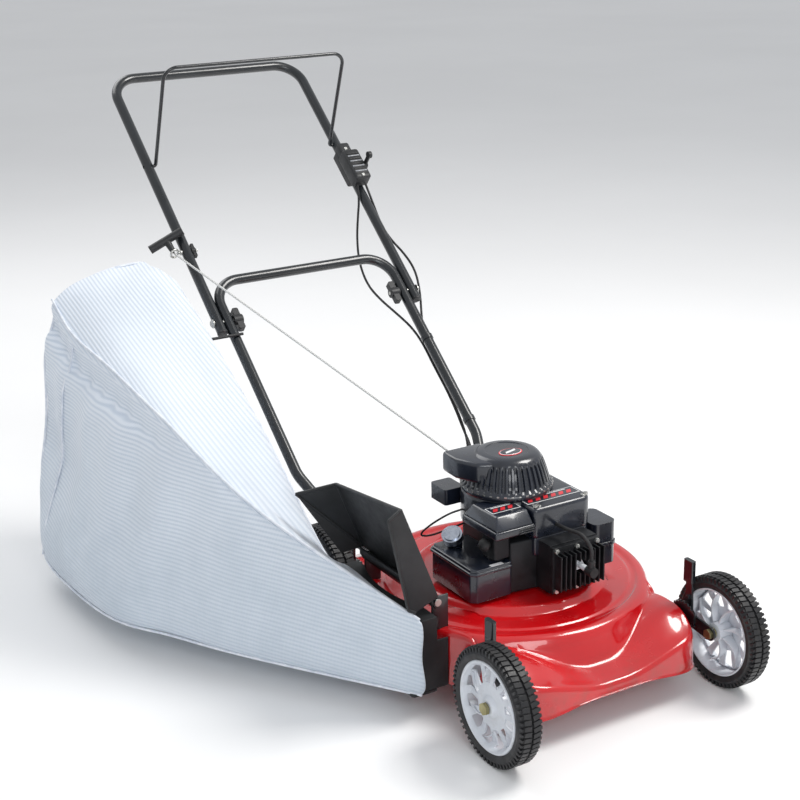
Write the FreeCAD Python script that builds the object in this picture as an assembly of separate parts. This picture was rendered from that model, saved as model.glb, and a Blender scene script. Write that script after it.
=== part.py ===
import FreeCAD, Part
import math
import os

# Walk-behind push lawn mower with a side grass bag. Millimetres.
# Front is -Y, the operator's left is +X, up is +Z, and the ground is z = 0.
# While it is built, y = 0 is the front axle and x = 0 the crankshaft plane. save_all moves the
# whole mower so that its origin is the middle of its box on the ground.

V = FreeCAD.Vector
X_AXIS, Y_AXIS, Z_AXIS = V(1, 0, 0), V(0, 1, 0), V(0, 0, 1)

# ---- driving sizes -------------------------------------------------------------------------
RUNNING = 0.05            # radial clearance of every shaft in its hole
GAP = 0.5                 # air between neighbours that don't touch

WHEEL_RADIUS = 101.6
WHEEL_WIDTH = 42.0
RIM_RADIUS = 79.0
RIM_WALL = 4.0
HUB_RADIUS = 16.0
RIM_SLOTS = 12
HALF_TRACK = 241.0        # crankshaft plane to the middle of a wheel
WHEELBASE = 575.0
AXLE_RADIUS = 6.35
AXLE_HEAD = 6.5           # height of the axle bolt's hexagon head

LEVER_REACH = 55.0        # axle to the height lever's pivot, along Y
LEVER_RISE = 6.4          # pivot above the axle
LEVER_PLATE = 4.0
LEVER_PIVOT_RADIUS = 7.0
PADDLE_HEIGHT = 112.0     # top of the paddle above the lever's pivot

CUT_WIDTH = 508.0
DECK_WALL = 2.0
SKIRT_Z = 50.0            # bottom edge of the deck
DECK_TOP = 148.0
HOUSING_RADIUS = 262.0    # round blade housing at the skirt's bottom edge
HOUSING_TAPER = 5.0
CRANK_Y = 320.0
PLATFORM_TOP = 162.0
PLATFORM_RADIUS = 168.0
PLATFORM_FLARE = 16.0
APRON_HALF = 197.0        # half width of the deck's front and rear boxes
APRON_FRONT = -16.0
APRON_TOP = 128.0
REAR_END = 600.0
REAR_TOP = 138.0
CRANK_HOLE = 30.0

BLADE_Z = 63.0
BLADE_THICK = 4.0
BLADE_WIDTH = 56.0
SHAFT_RADIUS = 11.0

CHUTE_FRONT, CHUTE_REAR = 176.0, 446.0
CHUTE_BOTTOM, CHUTE_TOP = 50.0, 184.0
CHUTE_WALL = 3.0
HINGE_X, HINGE_Z = -229.0, 200.0
HINGE_ROD = 4.0
HINGE_BARREL = 8.0
DEFLECTOR_WALL = 3.0

TUBE_RADIUS = 11.1        # 7/8 inch handle tube
TUBE_WALL = 1.5
UPPER_HALF = 235.0        # half width between the upper handle's tube centres
HANDLE_SLOPE = 40.0       # degrees above level
FOLD_Y, FOLD_Z = 1027.0, 494.0
HANDLE_LENGTH = 689.0     # fold bolt to the grip bar
CROSSBAR = 100.0          # fold bolt to the lower handle's cross bar
TUBE_BEND = 60.0
HANDLE_FOOT_HALF = 178.0
FOLD_BOLT_RADIUS = 4.0

BAIL_PIVOT = 430.0        # fold bolt to the bail's pivot, along the handle
BAIL_LENGTH = 235.0
BAIL_RADIUS = 4.0
BAIL_ANGLE = 70.0         # released bail above the handle's plane, degrees
BAIL_BEND = 28.0

ENGINE_TOP = 390.0
FAN_HOUSING_RADIUS = 84.0
FAN_HOUSING_BOTTOM, FAN_HOUSING_TOP = 262.0, 322.0
FLYWHEEL_RADIUS = 76.0
CABLE_RADIUS = 2.6
ROPE_RADIUS = 2.2
BAG_WALL = 4.0
MOUTH_X = -276.0           # plane of the bag's mouth
HANGER_RADIUS = 3.0

LOWER_HALF = UPPER_HALF - 2 * TUBE_RADIUS - 0.4
HUB_HALF = WHEEL_WIDTH / 2 - 1.0
ARM_X = HALF_TRACK - HUB_HALF - 10.0       # inner face of a height lever's plate
CRANK = V(0, CRANK_Y, 0)
SLOPE = math.radians(HANDLE_SLOPE)


# ---- helpers -------------------------------------------------------------------------------
def box(x0, x1, y0, y1, z0, z1):
    return Part.makeBox(x1 - x0, y1 - y0, z1 - z0, V(x0, y0, z0))


def rod(start, direction, radius, length):
    return Part.makeCylinder(radius, length, start, direction)


def upright(radius, z0, z1, centre=CRANK):
    return rod(V(centre.x, centre.y, z0), Z_AXIS, radius, z1 - z0)


def fuse(first, *others):
    return first.multiFuse(list(others)).removeSplitter()


def cut(solid, *tools):
    return solid.cut(list(tools))


def group(*solids):
    return Part.makeCompound(list(solids))


def rounded_rectangle(x0, x1, y0, y1, z, r):
    """Closed wire of four sides and four quarter arcs at height z."""
    k = r * (1 - math.sqrt(0.5))
    edges = [
        Part.LineSegment(V(x0 + r, y0, z), V(x1 - r, y0, z)),
        Part.Arc(V(x1 - r, y0, z), V(x1 - k, y0 + k, z), V(x1, y0 + r, z)),
        Part.LineSegment(V(x1, y0 + r, z), V(x1, y1 - r, z)),
        Part.Arc(V(x1, y1 - r, z), V(x1 - k, y1 - k, z), V(x1 - r, y1, z)),
        Part.LineSegment(V(x1 - r, y1, z), V(x0 + r, y1, z)),
        Part.Arc(V(x0 + r, y1, z), V(x0 + k, y1 - k, z), V(x0, y1 - r, z)),
        Part.LineSegment(V(x0, y1 - r, z), V(x0, y0 + r, z)),
        Part.Arc(V(x0, y0 + r, z), V(x0 + k, y0 + k, z), V(x0 + r, y0, z)),
    ]
    return Part.Wire([edge.toShape() for edge in edges])


def rounded_box(x0, x1, y0, y1, z0, z1, r):
    face = Part.Face(rounded_rectangle(x0, x1, y0, y1, z0, r))
    return face.extrude(V(0, 0, z1 - z0))


def flared_box(low, high, z0, z1, r):
    """Rounded box whose bottom and top rectangles differ: low and high are (x0, x1, y0, y1)."""
    return Part.makeLoft([rounded_rectangle(*low, z0, r), rounded_rectangle(*high, z1, r)], True, True)


def turned(profile, centre=CRANK, axis=Z_AXIS):
    """Solid of revolution from (radius, height) pairs, about an upright axis."""
    points = [V(centre.x + radius, centre.y, height) for radius, height in profile]
    face = Part.Face(Part.makePolygon(points + points[:1]))
    return face.revolve(V(centre.x, centre.y, 0), axis, 360)


def plate(points, thickness):
    """Flat sheet with the given corners, thickened along its own normal."""
    face = Part.Face(Part.makePolygon(points + points[:1]))
    normal = (points[1] - points[0]).cross(points[2] - points[1]).normalize()
    return face.extrude(normal * thickness)


def hexagon(centre, direction, across, height):
    """Hexagon prism standing on centre."""
    radius = across / math.sqrt(3)
    turn = FreeCAD.Rotation(Z_AXIS, direction)
    corners = [centre + turn.multVec(V(radius * math.cos(math.radians(60 * i)),
                                       radius * math.sin(math.radians(60 * i)), 0)) for i in range(6)]
    return Part.Face(Part.makePolygon(corners + corners[:1])).extrude(direction * height)


def mirrored(shape):
    return shape.mirror(V(0, 0, 0), X_AXIS)


def both_sides(shape):
    return group(shape, mirrored(shape))


def route_edges(points, radii):
    """Straight runs joined by tangent arcs of the given radii, one per inner point."""
    edges, here = [], points[0]
    for before, corner, after, radius in zip(points, points[1:], points[2:], radii):
        into, out = (corner - before).normalize(), (after - corner).normalize()
        half_turn = into.getAngle(out) / 2
        leave = corner - into * (radius * math.tan(half_turn))
        join = corner + out * (radius * math.tan(half_turn))
        inward = (out - into).normalize()
        middle = corner + inward * (radius / math.cos(half_turn) - radius)
        edges.append(Part.LineSegment(here, leave).toShape())
        edges.append(Part.Arc(leave, middle, join).toShape())
        here = join
    edges.append(Part.LineSegment(here, points[-1]).toShape())
    return edges


def swept(points, radii, radius):
    edges = route_edges(points, radii)
    start = (points[1] - points[0]).normalize()
    ring = Part.Wire([Part.Circle(points[0], start, radius).toShape()])
    return Part.Wire(edges).makePipeShell([ring], True, False)


def cord(points, radius, name):
    """Tube along a cord's route, with arcs as large as the runs allow."""
    radii = []
    for before, corner, after in zip(points, points[1:], points[2:]):
        into, out = corner - before, after - corner
        shorter = min(into.Length, out.Length)
        radii.append(0.45 * shorter / math.tan(into.getAngle(out) / 2))
    print(name, "bend radii", [round(value, 1) for value in radii])
    return swept(points, radii, radius)


def along(x, s, n=0.0):
    """Point in the handle's frame: s up the handle from the fold bolt, n above its plane."""
    return V(x, FOLD_Y + s * math.cos(SLOPE) - n * math.sin(SLOPE),
             FOLD_Z + s * math.sin(SLOPE) + n * math.cos(SLOPE))


UP_HANDLE = (along(0, 1) - along(0, 0)).normalize()
OFF_HANDLE = (along(0, 0, 1) - along(0, 0)).normalize()


def on_handle(shape):
    """Turns a shape that was built flat (Y up the handle, Z off it) into the handle's frame."""
    placed = shape.copy()
    placed.rotate(V(0, 0, 0), X_AXIS, HANDLE_SLOPE)
    placed.translate(V(0, FOLD_Y, FOLD_Z))
    return placed


# ---- wheels and height levers --------------------------------------------------------------
def tyre():
    half = WHEEL_WIDTH / 2
    groove, groove_half = 2.0, 2.5
    profile = [(RIM_RADIUS, -half + 2), (RIM_RADIUS + 11, -half), (WHEEL_RADIUS - 4, -half + 3),
               (WHEEL_RADIUS, -half + 8), (WHEEL_RADIUS, -groove_half), (WHEEL_RADIUS - groove, -groove_half),
               (WHEEL_RADIUS - groove, groove_half), (WHEEL_RADIUS, groove_half), (WHEEL_RADIUS, half - 8),
               (WHEEL_RADIUS - 4, half - 3), (RIM_RADIUS + 11, half), (RIM_RADIUS, half - 2)]
    return turned(profile, V(0, 0, 0))


def rim():
    """Rim that turns on the bolt's shank, with its dished disc pierced by slots."""
    seat_half = WHEEL_WIDTH / 2 - 2
    bore = AXLE_RADIUS + RUNNING
    disc_low, disc_high = -5.0, -1.0
    inner = RIM_RADIUS - RIM_WALL
    profile = [(bore, -HUB_HALF), (HUB_RADIUS, -HUB_HALF), (HUB_RADIUS, disc_low), (inner, disc_low),
               (inner, -seat_half), (RIM_RADIUS, -seat_half), (RIM_RADIUS, seat_half),
               (inner, seat_half), (inner, disc_high + 6), (HUB_RADIUS + 12, disc_high),
               (HUB_RADIUS + 4, HUB_HALF - 5), (HUB_RADIUS - 3, HUB_HALF), (bore, HUB_HALF)]
    body = turned(profile, V(0, 0, 0))
    slot = box(inner - 26, inner - 5, -5.5, 5.5, -HUB_HALF, HUB_HALF)
    slots = []
    for i in range(RIM_SLOTS):
        turned_slot = slot.copy()
        turned_slot.rotate(V(0, 0, 0), Z_AXIS, 360 / RIM_SLOTS * i)
        slots.append(turned_slot)
    return cut(body, *slots)


def axle_bolt():
    """Shoulder bolt: hexagon head outside, spacer against the lever's plate, nut inside it."""
    plate_in, plate_out = ARM_X - HALF_TRACK, ARM_X + LEVER_PLATE - HALF_TRACK
    nut = 6.0
    head = hexagon(V(0, 0, HUB_HALF + GAP), Z_AXIS, 19.0, AXLE_HEAD)
    shank = rod(V(0, 0, plate_in - nut), Z_AXIS, AXLE_RADIUS, HUB_HALF + GAP - plate_in + nut)
    spacer = rod(V(0, 0, plate_out), Z_AXIS, AXLE_RADIUS + 3, -HUB_HALF - GAP - plate_out)
    return fuse(shank, head, spacer, hexagon(V(0, 0, plate_in - nut), Z_AXIS, 17.0, nut))


def to_axle(shape, side, axle_y):
    """Stands a wheel piece that was turned about Z on its axle, outer face outwards."""
    placed = shape.copy()
    placed.rotate(V(0, 0, 0), Y_AXIS, 90 * side)
    placed.translate(V(side * HALF_TRACK, axle_y, WHEEL_RADIUS))
    return placed


def link_plate(a, b, radius, x0, x1):
    """Flat link between two round ends a and b (y, z)."""
    ends = [rod(V(x0, y, z), X_AXIS, radius, x1 - x0) for y, z in (a, b)]
    run = V(0, b[0] - a[0], b[1] - a[1])
    side = V(0, -run.z, run.y).normalize() * radius
    p, q = V(x0, *a), V(x0, *b)
    web = Part.Face(Part.makePolygon([p + side, q + side, q - side, p - side, p + side]))
    return fuse(ends[0], ends[1], web.extrude(V(x1 - x0, 0, 0)))


def height_lever():
    """Left-hand height lever of an axle at y = 0: arm, pivot stud, strip and paddle."""
    axle, pivot = (0.0, WHEEL_RADIUS), (LEVER_REACH, WHEEL_RADIUS + LEVER_RISE)
    x0, x1 = ARM_X, ARM_X + LEVER_PLATE
    arm = link_plate(axle, pivot, 13.0, x0, x1)
    strip = link_plate(pivot, (pivot[0] + 4, pivot[1] + PADDLE_HEIGHT - 20), 8.0, x0, x1)
    paddle = rounded_box(x0 - 3, x1 + 2.5, pivot[0] - 8, pivot[0] + 16,
                         pivot[1] + PADDLE_HEIGHT - 42, pivot[1] + PADDLE_HEIGHT, 3.0)
    inside = APRON_HALF - DECK_WALL - 1.0
    stud = rod(V(inside, *pivot), X_AXIS, LEVER_PIVOT_RADIUS, x0 - inside)
    keeper = rod(V(inside - 4, *pivot), X_AXIS, LEVER_PIVOT_RADIUS + 4, 4)
    tooth = box(x0 - 5, x0, pivot[0] - 3, pivot[0] + 3, pivot[1] + 40, pivot[1] + 46)
    whole = fuse(arm, strip, paddle, stud, keeper, tooth)
    return cut(whole, rod(V(x0, *axle), X_AXIS, AXLE_RADIUS, LEVER_PLATE))


def notch_plate():
    """Toothed quadrant on the deck's side, round the pivot of the left front lever."""
    pivot_y, pivot_z = LEVER_REACH, WHEEL_RADIUS + LEVER_RISE
    thick, outer, inner = 3.5, 38.0, 16.0
    x0 = APRON_HALF
    disc = rod(V(x0, pivot_y, pivot_z), X_AXIS, outer, thick)
    disc = disc.common(box(x0, x0 + thick, pivot_y - 30, pivot_y + 25, pivot_z, pivot_z + outer))
    teeth = []
    for i in range(6):
        angle = math.radians(55 + 14 * i)
        centre = V(x0, pivot_y + outer * math.cos(angle), pivot_z + outer * math.sin(angle))
        teeth.append(rod(centre, X_AXIS, 3.0, thick))
    return cut(disc, rod(V(x0, pivot_y, pivot_z), X_AXIS, inner, thick), *teeth)


def moved_y(shape, distance):
    placed = shape.copy()
    placed.translate(V(0, distance, 0))
    return placed


# The rear levers pivot ahead of their axles, so the front and rear arms point at each other.
def lever_for(side, rear):
    lever = height_lever()
    if rear:
        lever = lever.mirror(V(0, 0, 0), Y_AXIS)
        lever = moved_y(lever, WHEELBASE)
    return lever if side > 0 else mirrored(lever)


def notch_plates():
    front = notch_plate()
    rear = moved_y(front.mirror(V(0, 0, 0), Y_AXIS), WHEELBASE)
    return group(front, rear, mirrored(front), mirrored(rear))


# ---- deck ----------------------------------------------------------------------------------
def deck_form(inset, low):
    """Solid form of the deck, shrunk by inset all round and on top, from height low."""
    rise = (low - SKIRT_Z) * HOUSING_TAPER / (DECK_TOP - SKIRT_Z)
    housing = Part.makeCone(HOUSING_RADIUS - inset - rise, HOUSING_RADIUS - HOUSING_TAPER - inset,
                            DECK_TOP - inset - low, V(0, CRANK_Y, low))
    half = APRON_HALF - inset
    front = APRON_FRONT + inset
    apron = flared_box((-half, half, front, CRANK_Y), (-half, half, front + 26, CRANK_Y),
                       low, APRON_TOP - inset, 24.0)
    rear = flared_box((-half, half, CRANK_Y, REAR_END - inset), (-half, half, CRANK_Y, REAR_END - inset - 8),
                      low, REAR_TOP - inset, 20.0)
    platform = Part.makeCone(PLATFORM_RADIUS + PLATFORM_FLARE - inset, PLATFORM_RADIUS - inset,
                             PLATFORM_TOP - DECK_TOP, V(0, CRANK_Y, DECK_TOP - inset))
    return fuse(housing, apron, rear, platform)


def hinge_lugs():
    """Two ears on the deck that hold the deflector's hinge rod."""
    ears = []
    for y in (CHUTE_FRONT + 22, CHUTE_REAR - 20):
        ear = box(HINGE_X - 9, HINGE_X + 24, y, y + 4, DECK_TOP - 4, HINGE_Z + 9)
        foot = box(HINGE_X + 14, HINGE_X + 60, y - 8, y + 12, DECK_TOP, DECK_TOP + 3)
        ears.append(fuse(ear, foot))
    return ears


def bracket_bolt_points():
    inner = HANDLE_FOOT_HALF - TUBE_RADIUS
    foot = along(0, -528.0)
    return [V(side * inner, foot.y, foot.z) for side in (1, -1)]


def engine_bolt_points():
    return [V(52 * math.cos(math.radians(a)), CRANK_Y + 52 * math.sin(math.radians(a)), 0)
            for a in (90, 210, 330)]


def deck_shell():
    shell = cut(deck_form(0, SKIRT_Z), deck_form(DECK_WALL, SKIRT_Z - 1))
    shell = fuse(shell, *hinge_lugs())
    mouth = box(-HOUSING_RADIUS - 20, -150, CHUTE_FRONT + 24, CHUTE_REAR - 24, SKIRT_Z + 12, DECK_TOP - 12)
    tools = [mouth, upright(CRANK_HOLE, PLATFORM_TOP - 10, PLATFORM_TOP + 1)]
    tools.append(rod(V(HINGE_X, CHUTE_FRONT, HINGE_Z), Y_AXIS, HINGE_ROD, CHUTE_REAR - CHUTE_FRONT))
    for point in engine_bolt_points():
        tools.append(upright(4.0, PLATFORM_TOP - 10, PLATFORM_TOP + 1, point))
    for rear in (False, True):
        y = WHEELBASE - LEVER_REACH if rear else LEVER_REACH
        for side in (1, -1):
            start = V(side * (APRON_HALF - 10), y, WHEEL_RADIUS + LEVER_RISE)
            tools.append(rod(start, V(side, 0, 0), LEVER_PIVOT_RADIUS + RUNNING, 20))
    return cut(shell, *tools)


def handle_bracket():
    """Left bracket: foot on the deck's top, ear beside the handle's lower end."""
    x1 = HANDLE_FOOT_HALF - TUBE_RADIUS
    bolt = bracket_bolt_points()[0]
    ear = link_plate((REAR_END - 50, REAR_TOP + 12), (bolt.y, bolt.z), 12.0, x1 - 4, x1)
    foot = box(x1 - 34, x1, REAR_END - 57, REAR_END - 14, REAR_TOP, REAR_TOP + 4)
    whole = fuse(ear, foot)
    whole = cut(whole, rod(V(x1 - 10, bolt.y, bolt.z), X_AXIS, 4.0, 20))
    return whole


def handle_brackets():
    return both_sides(handle_bracket())


def deck_bolts():
    """Handle bolts through the brackets, and engine bolts up through the deck's platform."""
    solids = []
    for point, side in zip(bracket_bolt_points(), (1, -1)):
        out = V(side, 0, 0)
        start = V(point.x - side * 10, point.y, point.z)
        shank = rod(start, out, 4.0, 10 + 2 * TUBE_RADIUS)
        head = hexagon(start, out, 13.0, 6)
        nut = hexagon(start + out * (10 + 2 * TUBE_RADIUS), out, 13.0, 6)
        solids.append(fuse(shank, head, nut))
    under = PLATFORM_TOP - DECK_WALL
    for point in engine_bolt_points():
        shank = upright(4.0, under - 6, PLATFORM_TOP + 14, point)
        head = hexagon(V(point.x, point.y, under - 6), Z_AXIS, 13.0, 6)
        solids.append(fuse(shank, head))
    return group(*solids)


# ---- blade and crankshaft ------------------------------------------------------------------
CAVITY_RADIUS, CAVITY_LOW, CAVITY_HIGH = 44.0, 190.0, 250.0
CRANK_THROW = 20.0
SHAFT_BOTTOM = 72.0


def crankshaft():
    """Main shaft with two webs and a crank pin between them."""
    webs = [upright(40.0, z, z + 8) for z in (204.0, 228.0)]
    pin = upright(10.0, 212, 228, V(0, CRANK_Y - CRANK_THROW, 0))
    lower = upright(SHAFT_RADIUS, SHAFT_BOTTOM, 204)
    upper = upright(SHAFT_RADIUS, 236, 300)
    shaft = fuse(lower, webs[0], pin, webs[1], upper)
    return cut(shaft, upright(5.0, SHAFT_BOTTOM, SHAFT_BOTTOM + 25))


def flywheel():
    """Flywheel with its fan vanes and the cup that the starter grips."""
    disc = upright(FLYWHEEL_RADIUS, 268, 284)
    cup = cut(upright(28.0, 284, 300), upright(24.0, 288, 300))
    vanes = []
    for i in range(16):
        vane = box(40, FLYWHEEL_RADIUS - 4, -1.5, 1.5, 284, 306)
        vane.rotate(V(0, 0, 0), Z_AXIS, 22.5 * i)
        vane.translate(CRANK)
        vanes.append(vane)
    return cut(fuse(disc, cup, *vanes), upright(SHAFT_RADIUS, 260, 310))


def blade_adapter():
    sleeve = upright(18.0, BLADE_Z + BLADE_THICK, 108)
    flange = upright(30.0, BLADE_Z + BLADE_THICK, SHAFT_BOTTOM)
    return cut(fuse(sleeve, flange), upright(SHAFT_RADIUS, SHAFT_BOTTOM, 110), upright(5.0, 60, SHAFT_BOTTOM))


def blade():
    """Cutting bar with a lift wing bent up behind each tip."""
    half, width = CUT_WIDTH / 2, BLADE_WIDTH / 2
    bar = box(-half, half, -width, width, 0, BLADE_THICK).common(upright(half, 0, BLADE_THICK, V(0, 0, 0)))
    wings = []
    for side in (1, -1):
        wing = box(half - 92, half - 16, 0, 24, 0, BLADE_THICK)
        wing.rotate(V(0, 0, 0), X_AXIS, 32)
        wing.translate(V(0, width - 3, 0))
        if side < 0:
            wing.rotate(V(0, 0, 0), Z_AXIS, 180)
        wings.append(wing)
    whole = fuse(bar, *wings)
    whole.translate(V(0, CRANK_Y, BLADE_Z))
    return cut(whole, upright(5.0, BLADE_Z - 1, BLADE_Z + BLADE_THICK + 1))


def blade_bolt():
    head = hexagon(V(0, CRANK_Y, BLADE_Z - 9), Z_AXIS, 16.0, 6)
    washer = upright(17.0, BLADE_Z - 3, BLADE_Z)
    return fuse(head, washer, upright(5.0, BLADE_Z - 3, SHAFT_BOTTOM + 25))


# ---- engine --------------------------------------------------------------------------------
BLOCK_LEFT, BLOCK_RIGHT = 85.0, -15.0      # sides of the cylinder block
HEAD_FACE = 165.0                          # the cylinder head's joint face
PLUG = V(35, HEAD_FACE, 222)


def engine_block():
    """Sump, crankcase and cylinder block, hollow round the crank."""
    sump = upright(64.0, PLATFORM_TOP, 182)
    case = rounded_box(-58, 62, CRANK_Y - 62, CRANK_Y + 65, 182, FAN_HOUSING_BOTTOM, 12)
    barrel = box(BLOCK_RIGHT, BLOCK_LEFT, HEAD_FACE, CRANK_Y - 62, 172, FAN_HOUSING_BOTTOM)
    whole = fuse(sump, case, barrel)
    tools = [upright(CAVITY_RADIUS, CAVITY_LOW, CAVITY_HIGH),
             upright(SHAFT_RADIUS + RUNNING, PLATFORM_TOP - 1, FAN_HOUSING_BOTTOM + 1)]
    tools += [upright(4.0, PLATFORM_TOP - 1, PLATFORM_TOP + 14, point) for point in engine_bolt_points()]
    return cut(whole, *tools)


def cylinder_head():
    """Finned head on the front of the cylinder block."""
    base = box(BLOCK_RIGHT, BLOCK_LEFT, HEAD_FACE - 9, HEAD_FACE, 174, 260)
    fins = []
    for i in range(10):
        x = BLOCK_RIGHT + 3 + i * 10.3
        fins.append(box(x, x + 2.6, HEAD_FACE - 29, HEAD_FACE - 9, 184, 250))
    hole = rod(V(PLUG.x, HEAD_FACE - 40, PLUG.z), Y_AXIS, 12.0, 31)
    thread = rod(V(PLUG.x, HEAD_FACE - 10, PLUG.z), Y_AXIS, 7.0, 11)
    return cut(fuse(base, *fins), hole, thread)


def engine_bolts():
    """Head bolts on the cylinder head's rim, and screws on the fan housing's top."""
    solids = []
    face = HEAD_FACE - 9
    for x in (-9.0, 35.0, 79.0):
        for z in (179.0, 255.0):
            solids.append(hexagon(V(x, face - 5, z), Y_AXIS, 8.0, 5))
    for x, y in ((92.0, 206.0), (92.0, 388.0), (-18.0, 206.0)):
        solids.append(hexagon(V(x, y, FAN_HOUSING_TOP), Z_AXIS, 8.0, 4))
    return group(*solids)


def spark_plug():
    thread = rod(V(PLUG.x, HEAD_FACE, PLUG.z), -Y_AXIS, 7.0, 10)
    nut = hexagon(V(PLUG.x, HEAD_FACE - 18, PLUG.z), Y_AXIS, 18.0, 8)
    insulator = rod(V(PLUG.x, HEAD_FACE - 18, PLUG.z), -Y_AXIS, 5.5, 26)
    return fuse(thread, nut, insulator)


def spark_lead():
    """Boot on the plug and the lead from it up into the fan housing."""
    tip = V(PLUG.x, HEAD_FACE - 44, PLUG.z)
    boot = fuse(rod(tip, -Y_AXIS, 9.0, 18), rod(tip + V(0, -9, 0), Z_AXIS, 6.5, 20))
    points = [tip + V(0, -9, 20), tip + V(0, -9, 44), tip + V(-8, 8, 66), tip + V(-14, 44, 64),
              V(tip.x - 14, 195.9, tip.z + 62)]
    return group(boot, cord(points, 3.4, "spark_lead"))


def fan_form(inset, low, high):
    """Round fan housing with its square front corner."""
    drum = upright(FAN_HOUSING_RADIUS - inset, low, high)
    corner = rounded_box(-27 + inset, 102 - inset, 196 + inset, 400 - inset, low, high, 10 - inset)
    return fuse(drum, corner)


def blower_housing():
    wall = 2.5
    outer = fan_form(0, FAN_HOUSING_BOTTOM, FAN_HOUSING_TOP)
    inner = fan_form(wall, FAN_HOUSING_BOTTOM - 1, FAN_HOUSING_TOP - wall)
    return cut(outer, inner, upright(60.0, FAN_HOUSING_TOP - 5, FAN_HOUSING_TOP + 1))


ROPE_EXIT = V(-72, 366, 372)
POST_RADIUS = 7.0


def starter_housing():
    """Tapered starter dome with the rope's outlet box and the post that the pulley turns on."""
    low, top = FAN_HOUSING_TOP, ENGINE_TOP
    outside = [(82, low), (82, low + 9), (79, low + 13), (60, top - 8), (54, top - 2), (44, top), (0, top)]
    inside = [(0, top - 3.5), (43, top - 3.5), (51, top - 5.5), (56, top - 11), (75, low + 13),
              (75, low)]
    dome = turned(outside + inside)
    rope_box = rounded_box(-96, -50, 342, 390, low + 26, top - 3, 6).cut(upright(66.0, low, top + 1))
    inner_box = box(-92, -60, 346, 386, low + 30, top - 7).cut(upright(68.0, low, top + 1))
    post = upright(POST_RADIUS, top - 44, top - 3.5)
    whole = cut(fuse(dome, rope_box, post), inner_box)
    outlet = rod(ROPE_EXIT - ROPE_RUN * 40, ROPE_RUN, ROPE_RADIUS + 1.5, 80)
    return cut(whole, outlet)


def starter_pulley():
    top = ENGINE_TOP
    profile = [(POST_RADIUS + RUNNING, top - 40), (32, top - 40), (32, top - 37), (27, top - 34),
               (27, top - 26), (32, top - 23), (32, top - 20), (POST_RADIUS + RUNNING, top - 20)]
    return turned(profile)


def carburetor():
    body = rounded_box(-100, -66, 212, 252, 238, 283, 5)
    bowl = upright(15.0, TANK_HIGH, 238, V(-83, 232, 0))
    manifold = rod(V(-66, 232, 250), X_AXIS, 11.0, BLOCK_RIGHT + 66)
    return cut(fuse(body, bowl, manifold), rod(V(-101, 232, 262), X_AXIS, 8 + RUNNING, 12))


def air_cleaner_cover():
    """Bevelled lid beside the fan housing."""
    low, high, bevel = 283.0, 320.0, 12.0
    lower = box(-112, -28, 190, 300, low, high - bevel)
    upper = flared_box((-112, -28, 190, 300), (-112 + bevel, -28, 190 + bevel, 300 - bevel),
                       high - bevel, high, 2.0)
    return cut(fuse(lower, upper), upright(FAN_HOUSING_RADIUS + GAP, low - 1, high + 1),
               box(-27 - GAP, 0, 180, 320, low - 1, high + 1))


def primer_bulb():
    """Rubber button that slides in the carburetor's side."""
    stem = rod(V(-92, 232, 262), V(-1, 0, 0), 8.0, 14)
    dome = Part.makeSphere(12.0, V(-106, 232, 262)).common(box(-130, -106, 200, 260, 240, 290))
    return fuse(stem, dome)


TANK = (-152.0, -66.0, 203.0, 348.0)
TANK_LOW, TANK_HIGH = 168.0, 232.0
CAP_AXIS = V(-0.42, -0.30, 0.86).normalize()
CAP_SEAT = V(-120, 316, TANK_HIGH + 20)


def fuel_tank():
    """Hollow tank on the right of the engine, with a rolled seam and a leaning filler neck."""
    x0, x1, y0, y1 = TANK
    wall = 2.5
    body = rounded_box(x0, x1, y0, y1, TANK_LOW, TANK_HIGH, 16)
    seam = rounded_box(x0 - 3, x1, y0 - 3, y1 + 3, TANK_HIGH - 10, TANK_HIGH - 5, 18)
    inside = rounded_box(x0 + wall, x1 - wall, y0 + wall, y1 - wall, TANK_LOW + wall, TANK_HIGH - wall, 13)
    neck = rod(CAP_SEAT - CAP_AXIS * 29, CAP_AXIS, 14.0, 29)
    bore = rod(CAP_SEAT - CAP_AXIS * 36, CAP_AXIS, 11.0, 46)
    return cut(fuse(body, seam, neck), inside, bore)


def fuel_cap():
    """Screw cap over the neck's mouth."""
    skirt = cut(rod(CAP_SEAT - CAP_AXIS * 9, CAP_AXIS, 19.0, 14), rod(CAP_SEAT - CAP_AXIS * 10, CAP_AXIS,
                14.0 + RUNNING, 10.5))
    disc = rod(CAP_SEAT + CAP_AXIS * 5, CAP_AXIS, 15.0, 2.5)
    return fuse(skirt, disc)


def muffler():
    """Pressed muffler box on the left of the cylinder block."""
    body = rounded_box(104, 154, 192, 262, 182, 262, 12)
    pipe = rod(V(BLOCK_LEFT, 225, 225), X_AXIS, 12.0, 20)
    bead = rounded_box(102, 156, 190, 264, 218, 224, 13)
    return fuse(body, pipe, bead)


def breather_box():
    block = rounded_box(-98, -56, 372, 424, 284, 314, 5)
    return block.cut(upright(FAN_HOUSING_RADIUS, 280, 320))


# ---- handle --------------------------------------------------------------------------------
FOOT_S, FOOT_BEND_S, LEG_START_S = -547.0, -492.0, -381.0
UPPER_END_S = -26.0
BAR_CLEAR = TUBE_RADIUS + BAIL_RADIUS


def tube(points, radii):
    inner = TUBE_RADIUS - TUBE_WALL
    return swept(points, radii, TUBE_RADIUS).cut(swept(points, radii, inner))


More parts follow.
